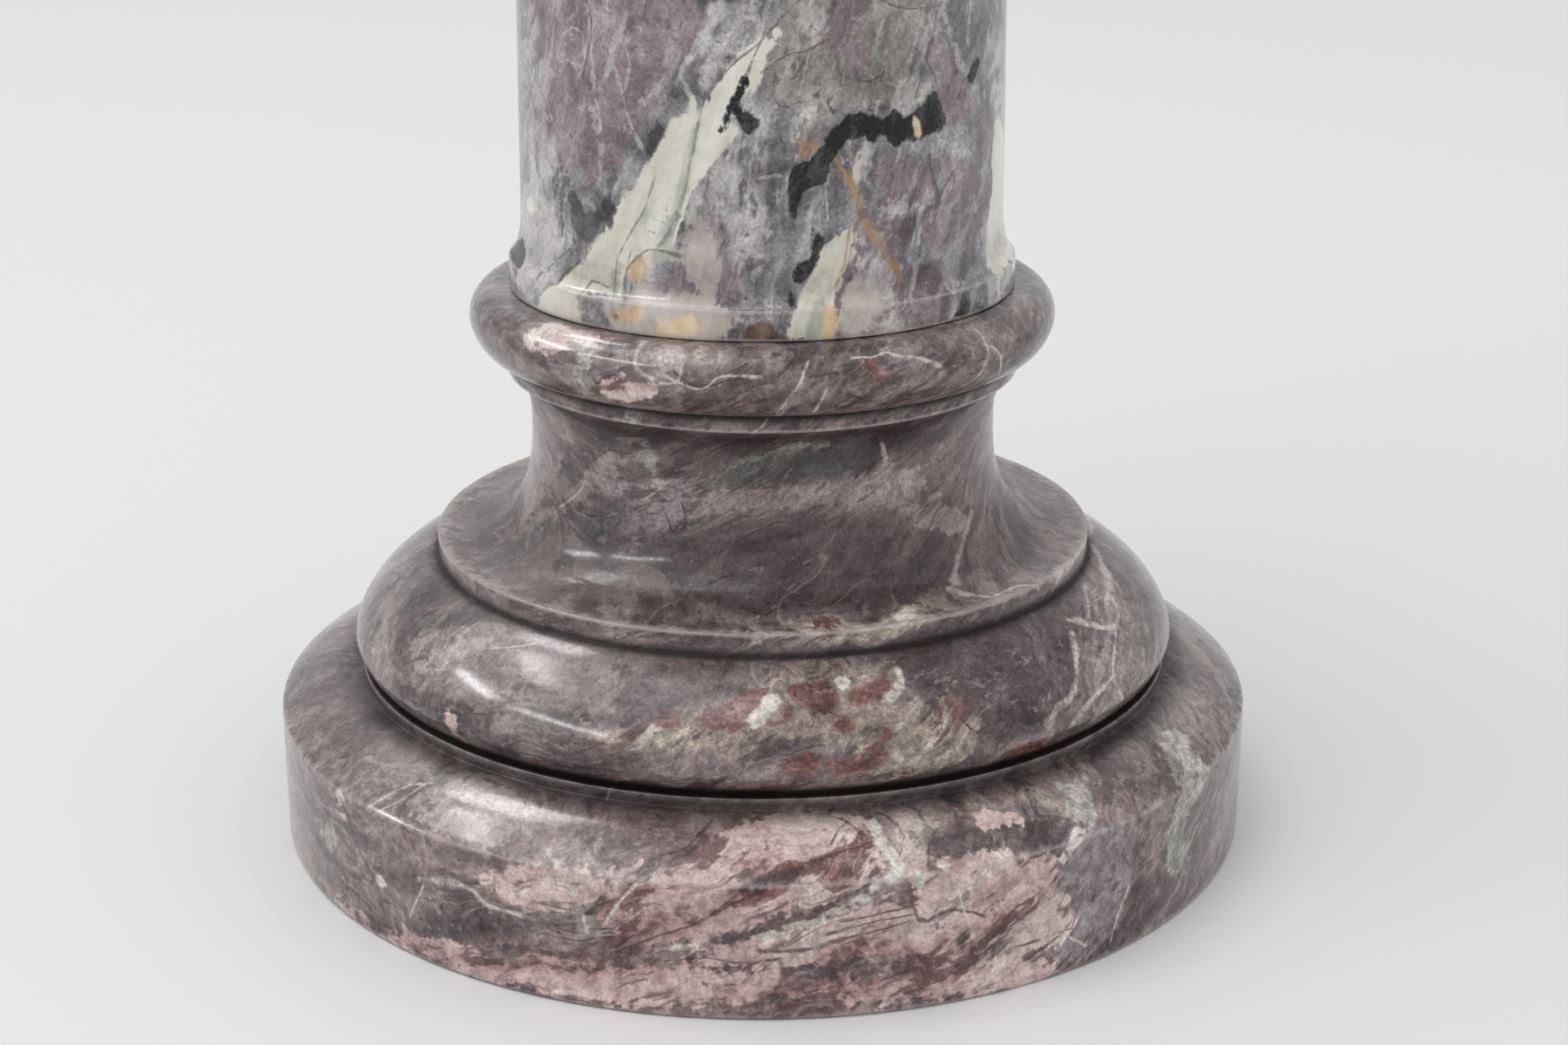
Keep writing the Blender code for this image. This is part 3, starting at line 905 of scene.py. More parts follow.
# Veining of the base
BASE_PATCHES = {
    "wine": (
        (
            (700, 560), (735, 545), (776, 545), (790, 560), (790, 600), (770, 622), (735, 630),
            (700, 625), (690, 600), (715, 590),
        ),
        ((690, 555), (700, 530), (712, 520), (716, 545), (706, 575), (692, 590)),
    ),
    "blush": (
        (
            (400, 1000), (450, 950), (560, 910), (700, 925), (900, 925), (1100, 915), (1230, 880),
            (1300, 900), (1340, 960), (1300, 1060), (1180, 1150), (900, 1180), (640, 1150), (480, 1100),
            (400, 1050),
        ),
    ),
    "pink": (
        (
            (700, 1000), (740, 990), (800, 974), (850, 945), (900, 934), (970, 934), (1000, 946),
            (1010, 975), (1016, 1000), (1000, 1015), (960, 1030), (920, 1042), (880, 1060), (830, 1076),
            (780, 1090), (720, 1094), (690, 1074), (686, 1038),
        ),
        (
            (1075, 985), (1110, 983), (1150, 978), (1166, 986), (1209, 988), (1213, 1010), (1225, 1030),
            (1232, 1050), (1225, 1072), (1190, 1084), (1130, 1088), (1075, 1056), (1050, 1040),
            (1050, 1000),
        ),
        ((1034, 934), (1055, 938), (1064, 954), (1060, 970), (1045, 986), (1030, 1002), (1032, 975)),
        (
            (760, 1100), (860, 1076), (960, 1050), (1040, 1030), (1060, 1060), (1130, 1096), (1000, 1110),
            (860, 1112),
        ),
        (
            (600, 1090), (700, 1104), (800, 1112), (900, 1116), (1000, 1112), (1100, 1106), (1180, 1098),
            (1200, 1140), (1000, 1150), (800, 1150), (620, 1140),
        ),
        (
            (395, 1034), (430, 1050), (480, 1076), (530, 1086), (600, 1098), (600, 1130), (500, 1110),
            (400, 1060),
        ),
        ((560, 1002), (640, 1000), (688, 1012), (690, 1036), (650, 1042), (600, 1038), (566, 1020)),
        ((505, 822), (526, 822), (532, 846), (517, 840)),
        ((380, 904), (396, 902), (392, 925), (401, 946), (389, 936)),
        ((690, 442), (705, 434), (725, 430), (746, 436), (756, 446), (740, 453), (715, 456), (700, 450)),
        ((604, 396), (612, 381), (640, 376), (680, 381), (702, 390), (690, 399), (660, 400), (625, 399)),
        ((1120, 936), (1160, 934), (1172, 944), (1130, 950)),
    ),
    "mauve": (
        (
            (792, 592), (812, 574), (843, 563), (900, 556), (939, 553), (975, 546), (1003, 537),
            (1036, 540), (1062, 552), (1079, 575), (1110, 596), (1108, 606), (1079, 608), (1035, 592),
            (1003, 574), (964, 582), (920, 584), (875, 588), (850, 585), (820, 592), (798, 600),
        ),
        ((671, 544), (706, 518), (709, 534), (684, 560), (652, 585), (620, 608), (620, 588), (645, 572)),
        ((640, 420), (655, 414), (666, 425), (668, 440), (676, 451), (660, 449), (645, 436)),
        ((670, 545), (684, 530), (690, 545), (672, 575), (640, 595), (625, 600), (650, 570)),
        ((745, 404), (770, 397), (783, 410), (780, 426), (755, 429), (742, 420)),
        ((612, 482), (646, 480), (656, 500), (644, 540), (622, 575), (600, 586), (606, 540)),
        ((480, 730), (560, 715), (580, 735), (520, 760), (478, 770)),
        ((500, 905), (560, 900), (620, 925), (640, 950), (560, 975), (500, 950), (464, 925)),
    ),
    "cream": (
        (
            (690, 848), (720, 828), (770, 818), (800, 806), (860, 796), (900, 770), (940, 756),
            (985, 760), (1018, 758), (1030, 775), (1036, 800), (1060, 806), (1100, 802), (1118, 818),
            (1120, 850), (1100, 876), (1060, 886), (1010, 886), (990, 868), (960, 852), (900, 850),
            (850, 866), (830, 872), (780, 852), (720, 856),
        ),
        (
            (824, 732), (843, 722), (894, 724), (907, 713), (971, 710), (996, 716), (1028, 706),
            (1066, 687), (1089, 668), (1093, 677), (1044, 716), (1019, 732), (971, 735), (907, 732),
            (862, 732),
        ),
        ((1062, 945), (1070, 926), (1100, 916), (1112, 920), (1086, 944), (1080, 958), (1070, 956)),
        ((1174, 905), (1195, 904), (1216, 920), (1223, 931), (1200, 929), (1180, 916)),
        ((620, 930), (650, 925), (655, 945), (630, 955), (600, 945)),
        ((975, 1028), (1000, 1018), (1004, 1030), (975, 1042)),
        ((820, 405), (812, 412), (806, 408), (812, 403)),
    ),
    "burgundy": (
        (
            (722, 1086), (740, 1070), (790, 1056), (826, 1036), (850, 1014), (880, 1002), (915, 990),
            (950, 980), (1000, 966), (1004, 974), (960, 994), (920, 1006), (900, 1022), (850, 1040),
            (800, 1066), (750, 1082),
        ),
        ((736, 1000), (752, 982), (782, 972), (806, 954), (816, 950), (806, 966), (786, 982), (756, 994)),
        (
            (850, 802), (868, 793), (878, 801), (870, 820), (860, 831), (840, 839), (820, 836),
            (796, 830), (820, 812),
        ),
        ((905, 790), (930, 785), (955, 778), (959, 795), (961, 815), (945, 826), (930, 815), (915, 802)),
        ((975, 796), (1000, 785), (1012, 777), (1024, 786), (1020, 801), (1000, 806), (980, 809)),
        ((955, 830), (975, 824), (979, 838), (965, 843)),
        ((900, 810), (913, 812), (911, 826), (885, 833), (875, 828), (895, 822)),
        ((1005, 852), (1015, 850), (1019, 870), (995, 886), (960, 888), (955, 876), (990, 868)),
        ((905, 872), (940, 858), (935, 886), (905, 891)),
        ((994, 414), (1005, 418), (1012, 430), (1008, 439), (1001, 428)),
        ((942, 1008), (952, 1013), (980, 1003), (984, 1008), (962, 1020), (950, 1018)),
        ((1010, 845), (1022, 836), (1024, 850), (1014, 860)),
        ((1050, 735), (1064, 730), (1072, 742), (1058, 750)),
        ((1196, 852), (1160, 862), (1160, 872), (1190, 866)),
        ((862, 1070), (872, 1060), (880, 1066), (870, 1074)),
        ((760, 810), (782, 826), (770, 838), (752, 830)),
    ),
    "dark_plum": (
        ((940, 430), (946, 427), (951, 432), (950, 437), (943, 438)),
        (
            (1020, 736), (1040, 728), (1100, 714), (1180, 704), (1232, 720), (1232, 790), (1200, 830),
            (1150, 852), (1120, 842), (1118, 808), (1100, 799), (1042, 799), (1036, 770), (1022, 756),
        ),
        (
            (480, 1050), (500, 1040), (530, 1026), (550, 1030), (575, 1045), (612, 1060), (595, 1076),
            (540, 1082), (490, 1079), (468, 1062),
        ),
        ((448, 998), (475, 994), (486, 1010), (480, 1026), (462, 1021), (444, 1008)),
        (
            (1072, 962), (1110, 948), (1170, 944), (1222, 940), (1226, 960), (1210, 985), (1166, 977),
            (1120, 984), (1078, 981),
        ),
        # The next three outlines, under the upper torus and its fillet, paint shade there as well as dark
        # plum colour
        ((736, 498), (760, 499), (772, 507), (776, 519), (755, 517), (740, 511)),
        (
            (785, 472), (840, 473), (900, 475), (922, 478), (905, 491), (880, 489), (862, 493),
            (848, 481), (800, 483),
        ),
        ((862, 520), (868, 506), (900, 500), (960, 500), (970, 512), (930, 516), (880, 522)),
        (
            (1262, 1080), (1290, 1046), (1300, 1010), (1345, 1000), (1342, 1030), (1320, 1056),
            (1290, 1082),
        ),
        ((700, 1000), (720, 1000), (722, 1016), (705, 1030), (695, 1046), (688, 1020)),
        ((650, 712), (670, 708), (690, 716), (680, 724), (650, 722)),
        ((690, 424), (700, 426), (730, 427), (726, 432), (694, 434)),
        ((600, 404), (620, 408), (624, 416), (606, 414)),
        ((560, 850), (640, 862), (720, 866), (740, 884), (660, 884), (580, 868)),
        (
            (730, 630), (800, 612), (860, 600), (960, 592), (1040, 606), (1090, 620), (1086, 660),
            (1040, 690), (960, 694), (880, 704), (820, 694), (760, 662),
        ),
        # Painted shade under the upper torus's fillet, on top of the dark plum colour
        (
            (800, 500), (870, 500), (960, 496), (1040, 486), (1080, 500), (1040, 520), (960, 522),
            (860, 526),
        ),
        ((760, 730), (820, 732), (824, 746), (770, 746)),
    ),
    "grey_green": (
        (
            (836, 545), (860, 530), (900, 522), (940, 517), (1000, 507), (1012, 530), (990, 543),
            (950, 549), (900, 556), (860, 561), (834, 553),
        ),
        ((675, 585), (690, 574), (713, 580), (722, 596), (705, 613), (680, 616), (671, 600)),
        ((500, 978), (520, 972), (546, 971), (541, 983), (514, 983)),
        ((1150, 700), (1162, 688), (1180, 700), (1176, 718), (1156, 714)),
        ((775, 823), (786, 810), (804, 803), (832, 798), (864, 786), (862, 796), (830, 806), (800, 812)),
        ((1060, 966), (1068, 948), (1078, 958), (1072, 970)),
        ((636, 590), (620, 620), (600, 640), (560, 652), (530, 650), (580, 630), (616, 606)),
        ((470, 720), (520, 704), (560, 700), (552, 712), (500, 724), (474, 732)),
    ),
    "grey_purple": (
        (
            (1212, 1002), (1230, 984), (1242, 960), (1262, 944), (1292, 960), (1302, 1000), (1290, 1040),
            (1280, 1072), (1232, 1104), (1214, 1098), (1226, 1072), (1236, 1045), (1222, 1020),
        ),
        ((1000, 1100), (1040, 1062), (1072, 1054), (1110, 1066), (1080, 1090), (1030, 1104)),
        ((820, 1090), (850, 1078), (885, 1072), (880, 1084), (850, 1096)),
    ),
    "pale_green": (
        (
            (1336, 850), (1356, 844), (1370, 870), (1386, 880), (1376, 910), (1361, 950), (1371, 990),
            (1356, 1012), (1340, 992), (1334, 960), (1350, 922), (1344, 890),
        ),
        ((664, 398), (676, 402), (673, 420), (681, 440), (672, 449), (665, 430)),
        ((735, 520), (742, 500), (752, 540), (760, 560), (748, 552)),
        ((840, 545), (850, 530), (880, 522), (940, 508), (950, 512), (900, 526), (870, 536), (850, 548)),
        ((1220, 905), (1246, 905), (1256, 925), (1248, 948), (1236, 930)),
        ((724, 468), (738, 472), (724, 492), (716, 486)),
        ((368, 945), (380, 944), (385, 965), (381, 981), (374, 976), (371, 955)),
    ),
    "white": (
        ((880, 800), (893, 798), (896, 808), (885, 820), (875, 833), (862, 836), (859, 826), (872, 812)),
        ((1028, 764), (1036, 775), (1036, 796), (1025, 806), (1012, 809), (1015, 798), (1026, 788)),
        ((956, 780), (972, 777), (976, 788), (965, 793)),
        ((430, 1000), (437, 1005), (443, 1017), (434, 1016)),
        (
            (998, 941), (1008, 940), (1014, 958), (1024, 972), (1034, 986), (1034, 1006), (1018, 1016),
            (1012, 1010), (1022, 1000), (1018, 986), (1004, 970),
        ),
        (
            (1004, 1014), (1010, 1022), (984, 1042), (950, 1060), (905, 1076), (862, 1084), (850, 1078),
            (890, 1066), (934, 1050), (974, 1032),
        ),
        ((1234, 952), (1246, 950), (1236, 972), (1222, 992), (1214, 990), (1226, 970)),
        ((1028, 706), (1044, 698), (1052, 704), (1036, 716)),
        ((1058, 1000), (1064, 1010), (1058, 1024), (1046, 1018)),
        ((1074, 990), (1088, 988), (1092, 998), (1080, 1000)),
        ((770, 1082), (800, 1084), (796, 1096), (772, 1094)),
    ),
}
BASE_VEINS = {
    "pale_veins": (
        (4.2, ((1114, 596), (1106, 622), (1099, 645), (1097, 664))),
        (3.0, ((1099, 680), (1130, 686), (1150, 682), (1166, 673), (1186, 672))),
        (4.0, ((1250, 596), (1246, 622), (1232, 644), (1210, 662))),
        (3.0, ((1246, 676), (1248, 690), (1250, 704))),
        (3.4, ((1278, 690), (1284, 704), (1280, 718), (1262, 719), (1236, 714))),
        (3.2, ((1232, 734), (1235, 762), (1234, 784), (1228, 800), (1214, 812), (1207, 824))),
        (3.0, ((1280, 728), (1277, 762), (1281, 786), (1288, 802))),
        (2.2, ((1276, 780), (1262, 795), (1250, 808), (1238, 823))),
        (3.4, ((488, 1010), (515, 1014), (540, 1020), (562, 1040), (592, 1050))),
        (4.6, ((632, 984), (645, 1005), (660, 1030), (668, 1064))),
        (1.8, ((474, 1046), (485, 1020))),
        (2.2, ((735, 398), (728, 418), (742, 431), (760, 439), (776, 438), (784, 420))),
        (1.9, ((778, 438), (800, 446), (813, 442), (826, 432), (862, 432))),
        (2.2, ((990, 411), (1003, 410), (1016, 405), (1030, 409), (1046, 409), (1060, 412), (1070, 416))),
        (2.2, ((1128, 388), (1134, 401), (1131, 418), (1120, 435), (1099, 446))),
        (1.8, ((1138, 399), (1147, 406), (1148, 426))),
        (1.4, ((945, 456), (938, 468))),
        (1.6, ((896, 470), (906, 456), (918, 442), (924, 428))),
        (1.4, ((872, 492), (880, 484), (894, 477))),
        (2.0, ((1015, 518), (1018, 530), (1010, 540))),
        (1.6, ((650, 577), (664, 566), (668, 560))),
        (1.8, ((750, 566), (762, 558))),
        (1.5, ((568, 745), (586, 744), (602, 742))),
        (1.8, ((1100, 1022), (1106, 1044), (1114, 1066))),
        (1.6, ((425, 926), (450, 912), (470, 902), (486, 900))),
        (1.6, ((440, 930), (462, 918), (480, 906))),
        (2.4, ((1292, 1028), (1284, 1050), (1278, 1070))),
        (1.8, ((1218, 1060), (1224, 1074), (1240, 1082))),
        (2.0, ((700, 1052), (715, 1030), (735, 1012), (752, 1004))),
        (1.2, ((700, 908), (708, 900))),
    ),
    "dark_veins": (
        (2.0, ((1048, 1040), (1056, 1062), (1080, 1050), (1100, 1044), (1120, 1050))),
        (1.6, ((880, 1092), (930, 1090), (962, 1080), (1000, 1070), (1036, 1060))),
        (2.6, ((722, 1086), (756, 1072), (796, 1062), (830, 1040), (860, 1015), (900, 1004), (942, 988))),
        (2.8, ((812, 1052), (850, 1034), (872, 1022), (905, 1008))),
        (1.8, ((738, 996), (752, 984), (782, 976), (800, 962), (812, 950))),
        (2.2, ((938, 988), (968, 978), (1000, 968))),
        (1.4, ((772, 1103), (812, 1100), (846, 1106), (884, 1102))),
        (1.6, ((978, 1056), (1002, 1050), (1040, 1042))),
        (1.4, ((768, 600), (772, 610), (780, 612), (787, 600), (786, 590))),
        (1.8, ((855, 618), (866, 612), (878, 606))),
        (2.4, ((783, 433), (798, 441), (818, 440))),
        (2.2, ((822, 440), (842, 435), (860, 431))),
        (2.0, ((838, 428), (846, 424))),
        (2.2, ((943, 432), (949, 431))),
        (1.8, ((1000, 424), (1008, 436))),
        (1.8, ((984, 456), (990, 458))),
        (2.0, ((822, 668), (832, 664))),
        (1.4, ((1235, 1050), (1230, 1064), (1222, 1068))),
        (1.4, ((1292, 988), (1298, 996), (1310, 990), (1306, 980))),
        (2.0, ((1195, 1090), (1206, 1082))),
        (1.6, ((1170, 1086), (1184, 1082))),
        (1.4, ((960, 1070), (990, 1062), (1014, 1056), (1036, 1052))),
        (1.6, ((1182, 920), (1190, 936), (1204, 938))),
        (1.4, ((660, 704), (680, 702))),
        (1.2, ((608, 784), (612, 778), (620, 770))),
        (2.4, ((395, 925), (404, 950), (412, 975), (424, 998))),
        (1.5, ((964, 940), (972, 944), (962, 955), (958, 962))),
        (1.6, ((1112, 834), (1120, 842), (1128, 838))),
        (1.5, ((858, 700), (874, 706), (890, 700))),
    ),
}


def parted(runs):
    """Shares veins out so that no two on one layer pass close to each other."""
    layers = [[] for _ in range(VEIN_LAYERS)]
    for half_width, line in runs:
        for layer in layers:
            apart = [(line[:, None] - other) * (NECK_RADIUS, 1) for _, other in layer]
            if min((np.hypot(*gap.T).min() for gap in apart), default=1) > VEIN_CLEARANCE:
                break
        layer.append((half_width, line))
    return layers


class Veining:
    """The patches and veins of one kind of marble, traced once on to the stone that shows them."""

    def __init__(self, profile, patches, veins):
        sight = Sight(Skin(profile))
        nearest = Vector((0, -PLINTH_RADIUS, 0))
        pixel = math.dist(CAMERA_PLACE, nearest) * SENSOR_MM / LENS_MM / PHOTO_WIDTH
        self.patches = {
            name: [sight.traced(outline, True) for outline in outlines]
            for name, outlines in patches.items()
        }
        self.veins = {
            name: parted([(half * pixel, sight.traced(points, False)) for half, points in runs])
            for name, runs in veins.items()
        }

    def lay_on(self, stone, profile, copies):
        """Writes the veining, copied round and up the stone, on to its mesh."""
        canvas = Canvas(stone, Skin(profile), copies)
        for name, outlines in self.patches.items():
            canvas.lay_patches(name, outlines)
        for name, layers in self.veins.items():
            for number, runs in enumerate(layers):
                canvas.lay_veins(f"{name}_{number}", runs)
        canvas.lay_hollows(profile)


class Marble(Sheet):
    """A marble: the noises that its layers share, and the colour that the layers build up."""

    def __init__(self, name, bedding, slow_push, curl_push, quick_push):
        super().__init__(name)
        self.bedding = bedding
        self.flow = self.warped(self.warped(self.place, 8, slow_push, 1), 30, curl_push, 1)
        self.rock = self.warped(self.flow, 110, quick_push, 2)
        self.laid = 0
        self.cloud = self.spread(self.noise(self.flow, 13, 3, 0.5))
        self.patchy = self.spread(self.noise(self.rock, 48, 4, 0.56))
        self.ragged = self.spread(self.noise(self.rock, 230, 3, 0.66))
        self.speck = self.spread(self.noise(self.place, 760, 3, 0.8), 0.34, 0.66)
        self.streak = self.spread(self.bedded(10, 58, 4, 0.62))
        self.band = self.spread(self.bedded(40, 150, 3, 0.64))
        self.color = None

    def spread(self, noise, low=0.32, high=0.68):
        """A noise drawn out to run from 0 to 1."""
        return noise.smooth(low, high)

    def bedded(self, along, across, detail, roughness):
        """A noise drawn out along the bedding; each call reads a fresh part of it."""
        self.laid += 1
        laid_place = self.node("ShaderNodeMapping", {}, self.rock, (self.laid, 0, 0), self.bedding)
        drawn_out = self.vector("MULTIPLY", laid_place, (along, along, across))
        return self.noise(drawn_out, 1, detail, roughness)

    def driver(self, **shares):
        """A blend of the named noises in these shares, for a ramp to run along."""
        parts = [getattr(self, noise) * share for noise, share in shares.items()]
        return sum(parts[1:], parts[0])

    def tinted(self, driver, stops):
        """The stops' colours, spread evenly along the driver."""
        marks = [lerp(0.14, 0.86, index / (len(stops) - 1)) for index in range(len(stops))]
        return self.ramp(driver, list(zip(marks, stops)))

    def lay(self, name, driver, stops, reach=0.006, blur=0.0012, strength=1.0):
        """Lays a traced kind of patch over the colour so far, its edge crisp here and smoky there."""
        stray = (0.34 * self.streak + 0.40 * self.band + 0.26 * self.ragged - 0.5) * reach
        softness = 0.0003 + blur * self.patchy
        covered = ((self.attribute(name) + stray) / softness).smooth(-1, 1) * strength
        self.color = self.mix(self.color, self.tinted(driver, stops), covered)

    def inside(self, name):
        """1 well inside a traced kind of patch, 0 well outside, and soft between."""
        return self.attribute(name).smooth(-0.006, 0.003)

    def flakes(self, along, across, low, high, tone, strength=1.0, detail=5):
        """Covers the colour so far with islands that a fresh bedded noise marks out."""
        islands = self.bedded(along, across, detail, 0.64).smooth(low, high)
        self.color = self.mix(self.color, tone, islands * strength)

    def wisps(self, along, across, width, tone, strength):
        """Winding veins: the narrow runs where a bedded noise crosses its middle."""
        course = self.bedded(along, across, 1, 0.50)
        line = 1 - (course - 0.5).math("ABSOLUTE").smooth(0, width)
        self.color = self.mix(self.color, tone, line * strength)

    def run_vein(self, name, tone, strength, wander=0.8, broken=0.5, layers=VEIN_LAYERS):
        """Runs a traced kind of vein over the colour so far, thinning and breaking along its way."""
        open_stretch = 1 - broken * (1 - self.ragged.smooth(0.10, 0.60))
        drawn = self.vein(name, (self.band - 0.5) * wander, self.patchy * 0.9 + 0.30, layers)
        self.color = self.mix(self.color, tone, drawn * open_stretch * strength)

    def vary(self, low, high, mask):
        """Darkens and lightens the colour so far by a number from low to high, as the mask runs."""
        self.color = self.scaled(self.color, low + (high - low) * mask)

    def finish(self):
        """Painted shade in the grooves and on the ring's face, a pale arris line that is partly wear and
        partly a painted highlight, and the polish with its pits.
        """
        sockets = self.shader.inputs
        # Painted shade: grooves, hollows and the ring's face under the torus turn almost black
        painted_shade = (self.attribute("hollow") + 0.04 * (self.ragged - 0.5)).smooth(-0.02, 0.145)
        self.color = self.mix(self.color, (0.008, 0.005, 0.005), painted_shade * 0.96)
        # A paler line along the arrises: partly wear, partly a painted highlight where the arris catches the
        # light
        wear_and_highlight = (self.attribute("edge") + 0.08 * (self.ragged - 0.5)).smooth(0.02, 0.16)
        self.color = self.mix(self.color, (0.50, 0.445, 0.43), wear_and_highlight * (1 - painted_shade) * 0.45)
        self.plug(sockets["Base Color"], self.color)
        self.plug(sockets["Roughness"], 0.26 + 0.12 * self.patchy + 0.3 * painted_shade)
        self.plug(sockets["Specular IOR Level"], 0.26)
        brightness = self.vector("DOT_PRODUCT", self.color, (0.3, 0.5, 0.2), output="Value")
        polish = 0.30 + 0.70 * brightness.smooth(0.0, 0.06)
        self.plug(sockets["Coat Weight"], (0.50 + 0.35 * self.speck) * (1 - painted_shade) * polish)
        self.plug(sockets["Coat Roughness"], 0.13)
        self.plug(sockets["Coat IOR"], 1.42)
        pits = 1 - self.cells(self.place, 170).smooth(0.06, 0.13)
        sparse = self.cloud.smooth(0.55, 0.80)
        height = 0.5 * self.patchy + 0.08 * self.ragged - pits * sparse
        bump = self.node(
            "ShaderNodeBump", {}, Strength=0.25, Distance=0.0005, Height=height, output="Normal"
        )
        self.plug(sockets["Normal"], bump)
        return self.material


def plum_marble():
    """The marble of the base and the cap: plum and grey, with pink, cream and burgundy on its front."""
    stone = Marble("plum_marble", PLUM_BEDDING, 0.030, 0.012, 0.0030)
    plain = stone.driver(streak=0.40, band=0.28, patchy=0.14, ragged=0.10, speck=0.08)
    plums = (
        (0.042, 0.027, 0.029),
        (0.094, 0.064, 0.067),
        (0.136, 0.098, 0.100),
        (0.200, 0.152, 0.150),
        (0.320, 0.260, 0.248),
    )
    stone.color = stone.tinted(plain, plums)
    greener = ((0.040, 0.039, 0.039), (0.108, 0.101, 0.097), (0.240, 0.226, 0.210))
    stone.color = stone.mix(stone.color, stone.tinted(plain, greener), stone.cloud.smooth(0.55, 0.85) * 0.50)

    mixed = stone.driver(streak=0.30, band=0.28, patchy=0.18, ragged=0.14, speck=0.10)
    blushes = ((0.080, 0.040, 0.042), (0.165, 0.108, 0.107), (0.250, 0.184, 0.178), (0.400, 0.330, 0.310))
    stone.lay("blush", mixed, blushes, 0.018, 0.0050, 0.80)
    wines = ((0.052, 0.026, 0.031), (0.165, 0.106, 0.120), (0.290, 0.226, 0.240), (0.440, 0.384, 0.392))
    stone.lay("wine", mixed, wines, 0.012, 0.0024, 0.92)
    stone.flakes(22, 80, 0.55, 0.60, (0.255, 0.200, 0.192), 0.55)
    stone.flakes(30, 110, 0.56, 0.60, (0.050, 0.032, 0.035), 0.68)
    stone.flakes(44, 240, 0.54, 0.64, (0.300, 0.258, 0.244), 0.50, 3)

    darks = ((0.026, 0.015, 0.017), (0.070, 0.048, 0.052), (0.160, 0.120, 0.122))
    # Dark plum patches; those under the upper torus and its fillet also paint the shade there
    stone.lay("dark_plum", mixed, darks, 0.009, 0.0032, 0.90)
    mauves = ((0.120, 0.080, 0.083), (0.275, 0.216, 0.216), (0.450, 0.385, 0.375))
    stone.lay("mauve", mixed, mauves, 0.006, 0.0010, 0.95)
    greys = ((0.095, 0.074, 0.086), (0.195, 0.162, 0.176), (0.300, 0.262, 0.270))
    stone.lay("grey_purple", mixed, greys, 0.004, 0.0006)
    pinks = (
        (0.130, 0.064, 0.063),
        (0.380, 0.252, 0.240),
        (0.480, 0.352, 0.332),
        (0.560, 0.434, 0.408),
        (0.690, 0.610, 0.560),
    )
    grained = stone.driver(streak=0.52, band=0.22, patchy=0.14, ragged=0.12)
    stone.lay("pink", grained, pinks, 0.011, 0.0014, 0.97)
    creams = ((0.076, 0.050, 0.046), (0.180, 0.136, 0.118), (0.290, 0.240, 0.200), (0.520, 0.460, 0.380))
    stone.lay("cream", mixed, creams, 0.012, 0.0024, 0.94)
    rosy = stone.inside("pink").math("MAXIMUM", stone.inside("cream"))
    stone.flakes(16, 92, 0.575, 0.605, (0.100, 0.040, 0.042), rosy * 0.78 + 0.08)
    stone.flakes(18, 110, 0.580, 0.625, (0.470, 0.400, 0.372), rosy * 0.60 + 0.12)
    greens = ((0.090, 0.086, 0.080), (0.240, 0.230, 0.208), (0.480, 0.462, 0.425))
    stone.lay("pale_green", mixed, greens, 0.008)
    slates = ((0.024, 0.023, 0.023), (0.066, 0.062, 0.061), (0.180, 0.168, 0.160))
    stone.lay("grey_green", mixed, slates, 0.012, 0.0020, 0.80)
    reds = ((0.032, 0.009, 0.010), (0.090, 0.028, 0.027), (0.155, 0.060, 0.054), (0.290, 0.175, 0.158))
    stone.lay("burgundy", mixed, reds, 0.006, 0.0012, 0.95)

    stone.flakes(70, 230, 0.590, 0.630, (0.052, 0.027, 0.029), 0.60)
    stone.flakes(150, 420, 0.600, 0.660, (0.420, 0.355, 0.325), stone.cloud.smooth(0.25, 0.60) * 0.35)
    stone.wisps(14, 130, 0.020, (0.034, 0.017, 0.020), (1 - stone.patchy).smooth(0.30, 0.75) * 0.65)
    stone.wisps(16, 110, 0.014, (0.440, 0.385, 0.360), stone.streak.smooth(0.45, 0.85) * 0.40)
    stone.run_vein("dark_veins", (0.040, 0.018, 0.021), 0.85, 1.6, 0.6)
    stone.run_vein("pale_veins", (0.520, 0.478, 0.436), 0.80, 1.2, 0.5)
    whites = ((0.360, 0.322, 0.280), (0.540, 0.506, 0.455), (0.690, 0.662, 0.608))
    stone.lay("white", mixed, whites, 0.0020, 0.0006, 0.94)
    stone.vary(0.84, 1.24, stone.speck)
    stone.vary(0.78, 1.26, stone.ragged)
    return stone.finish()


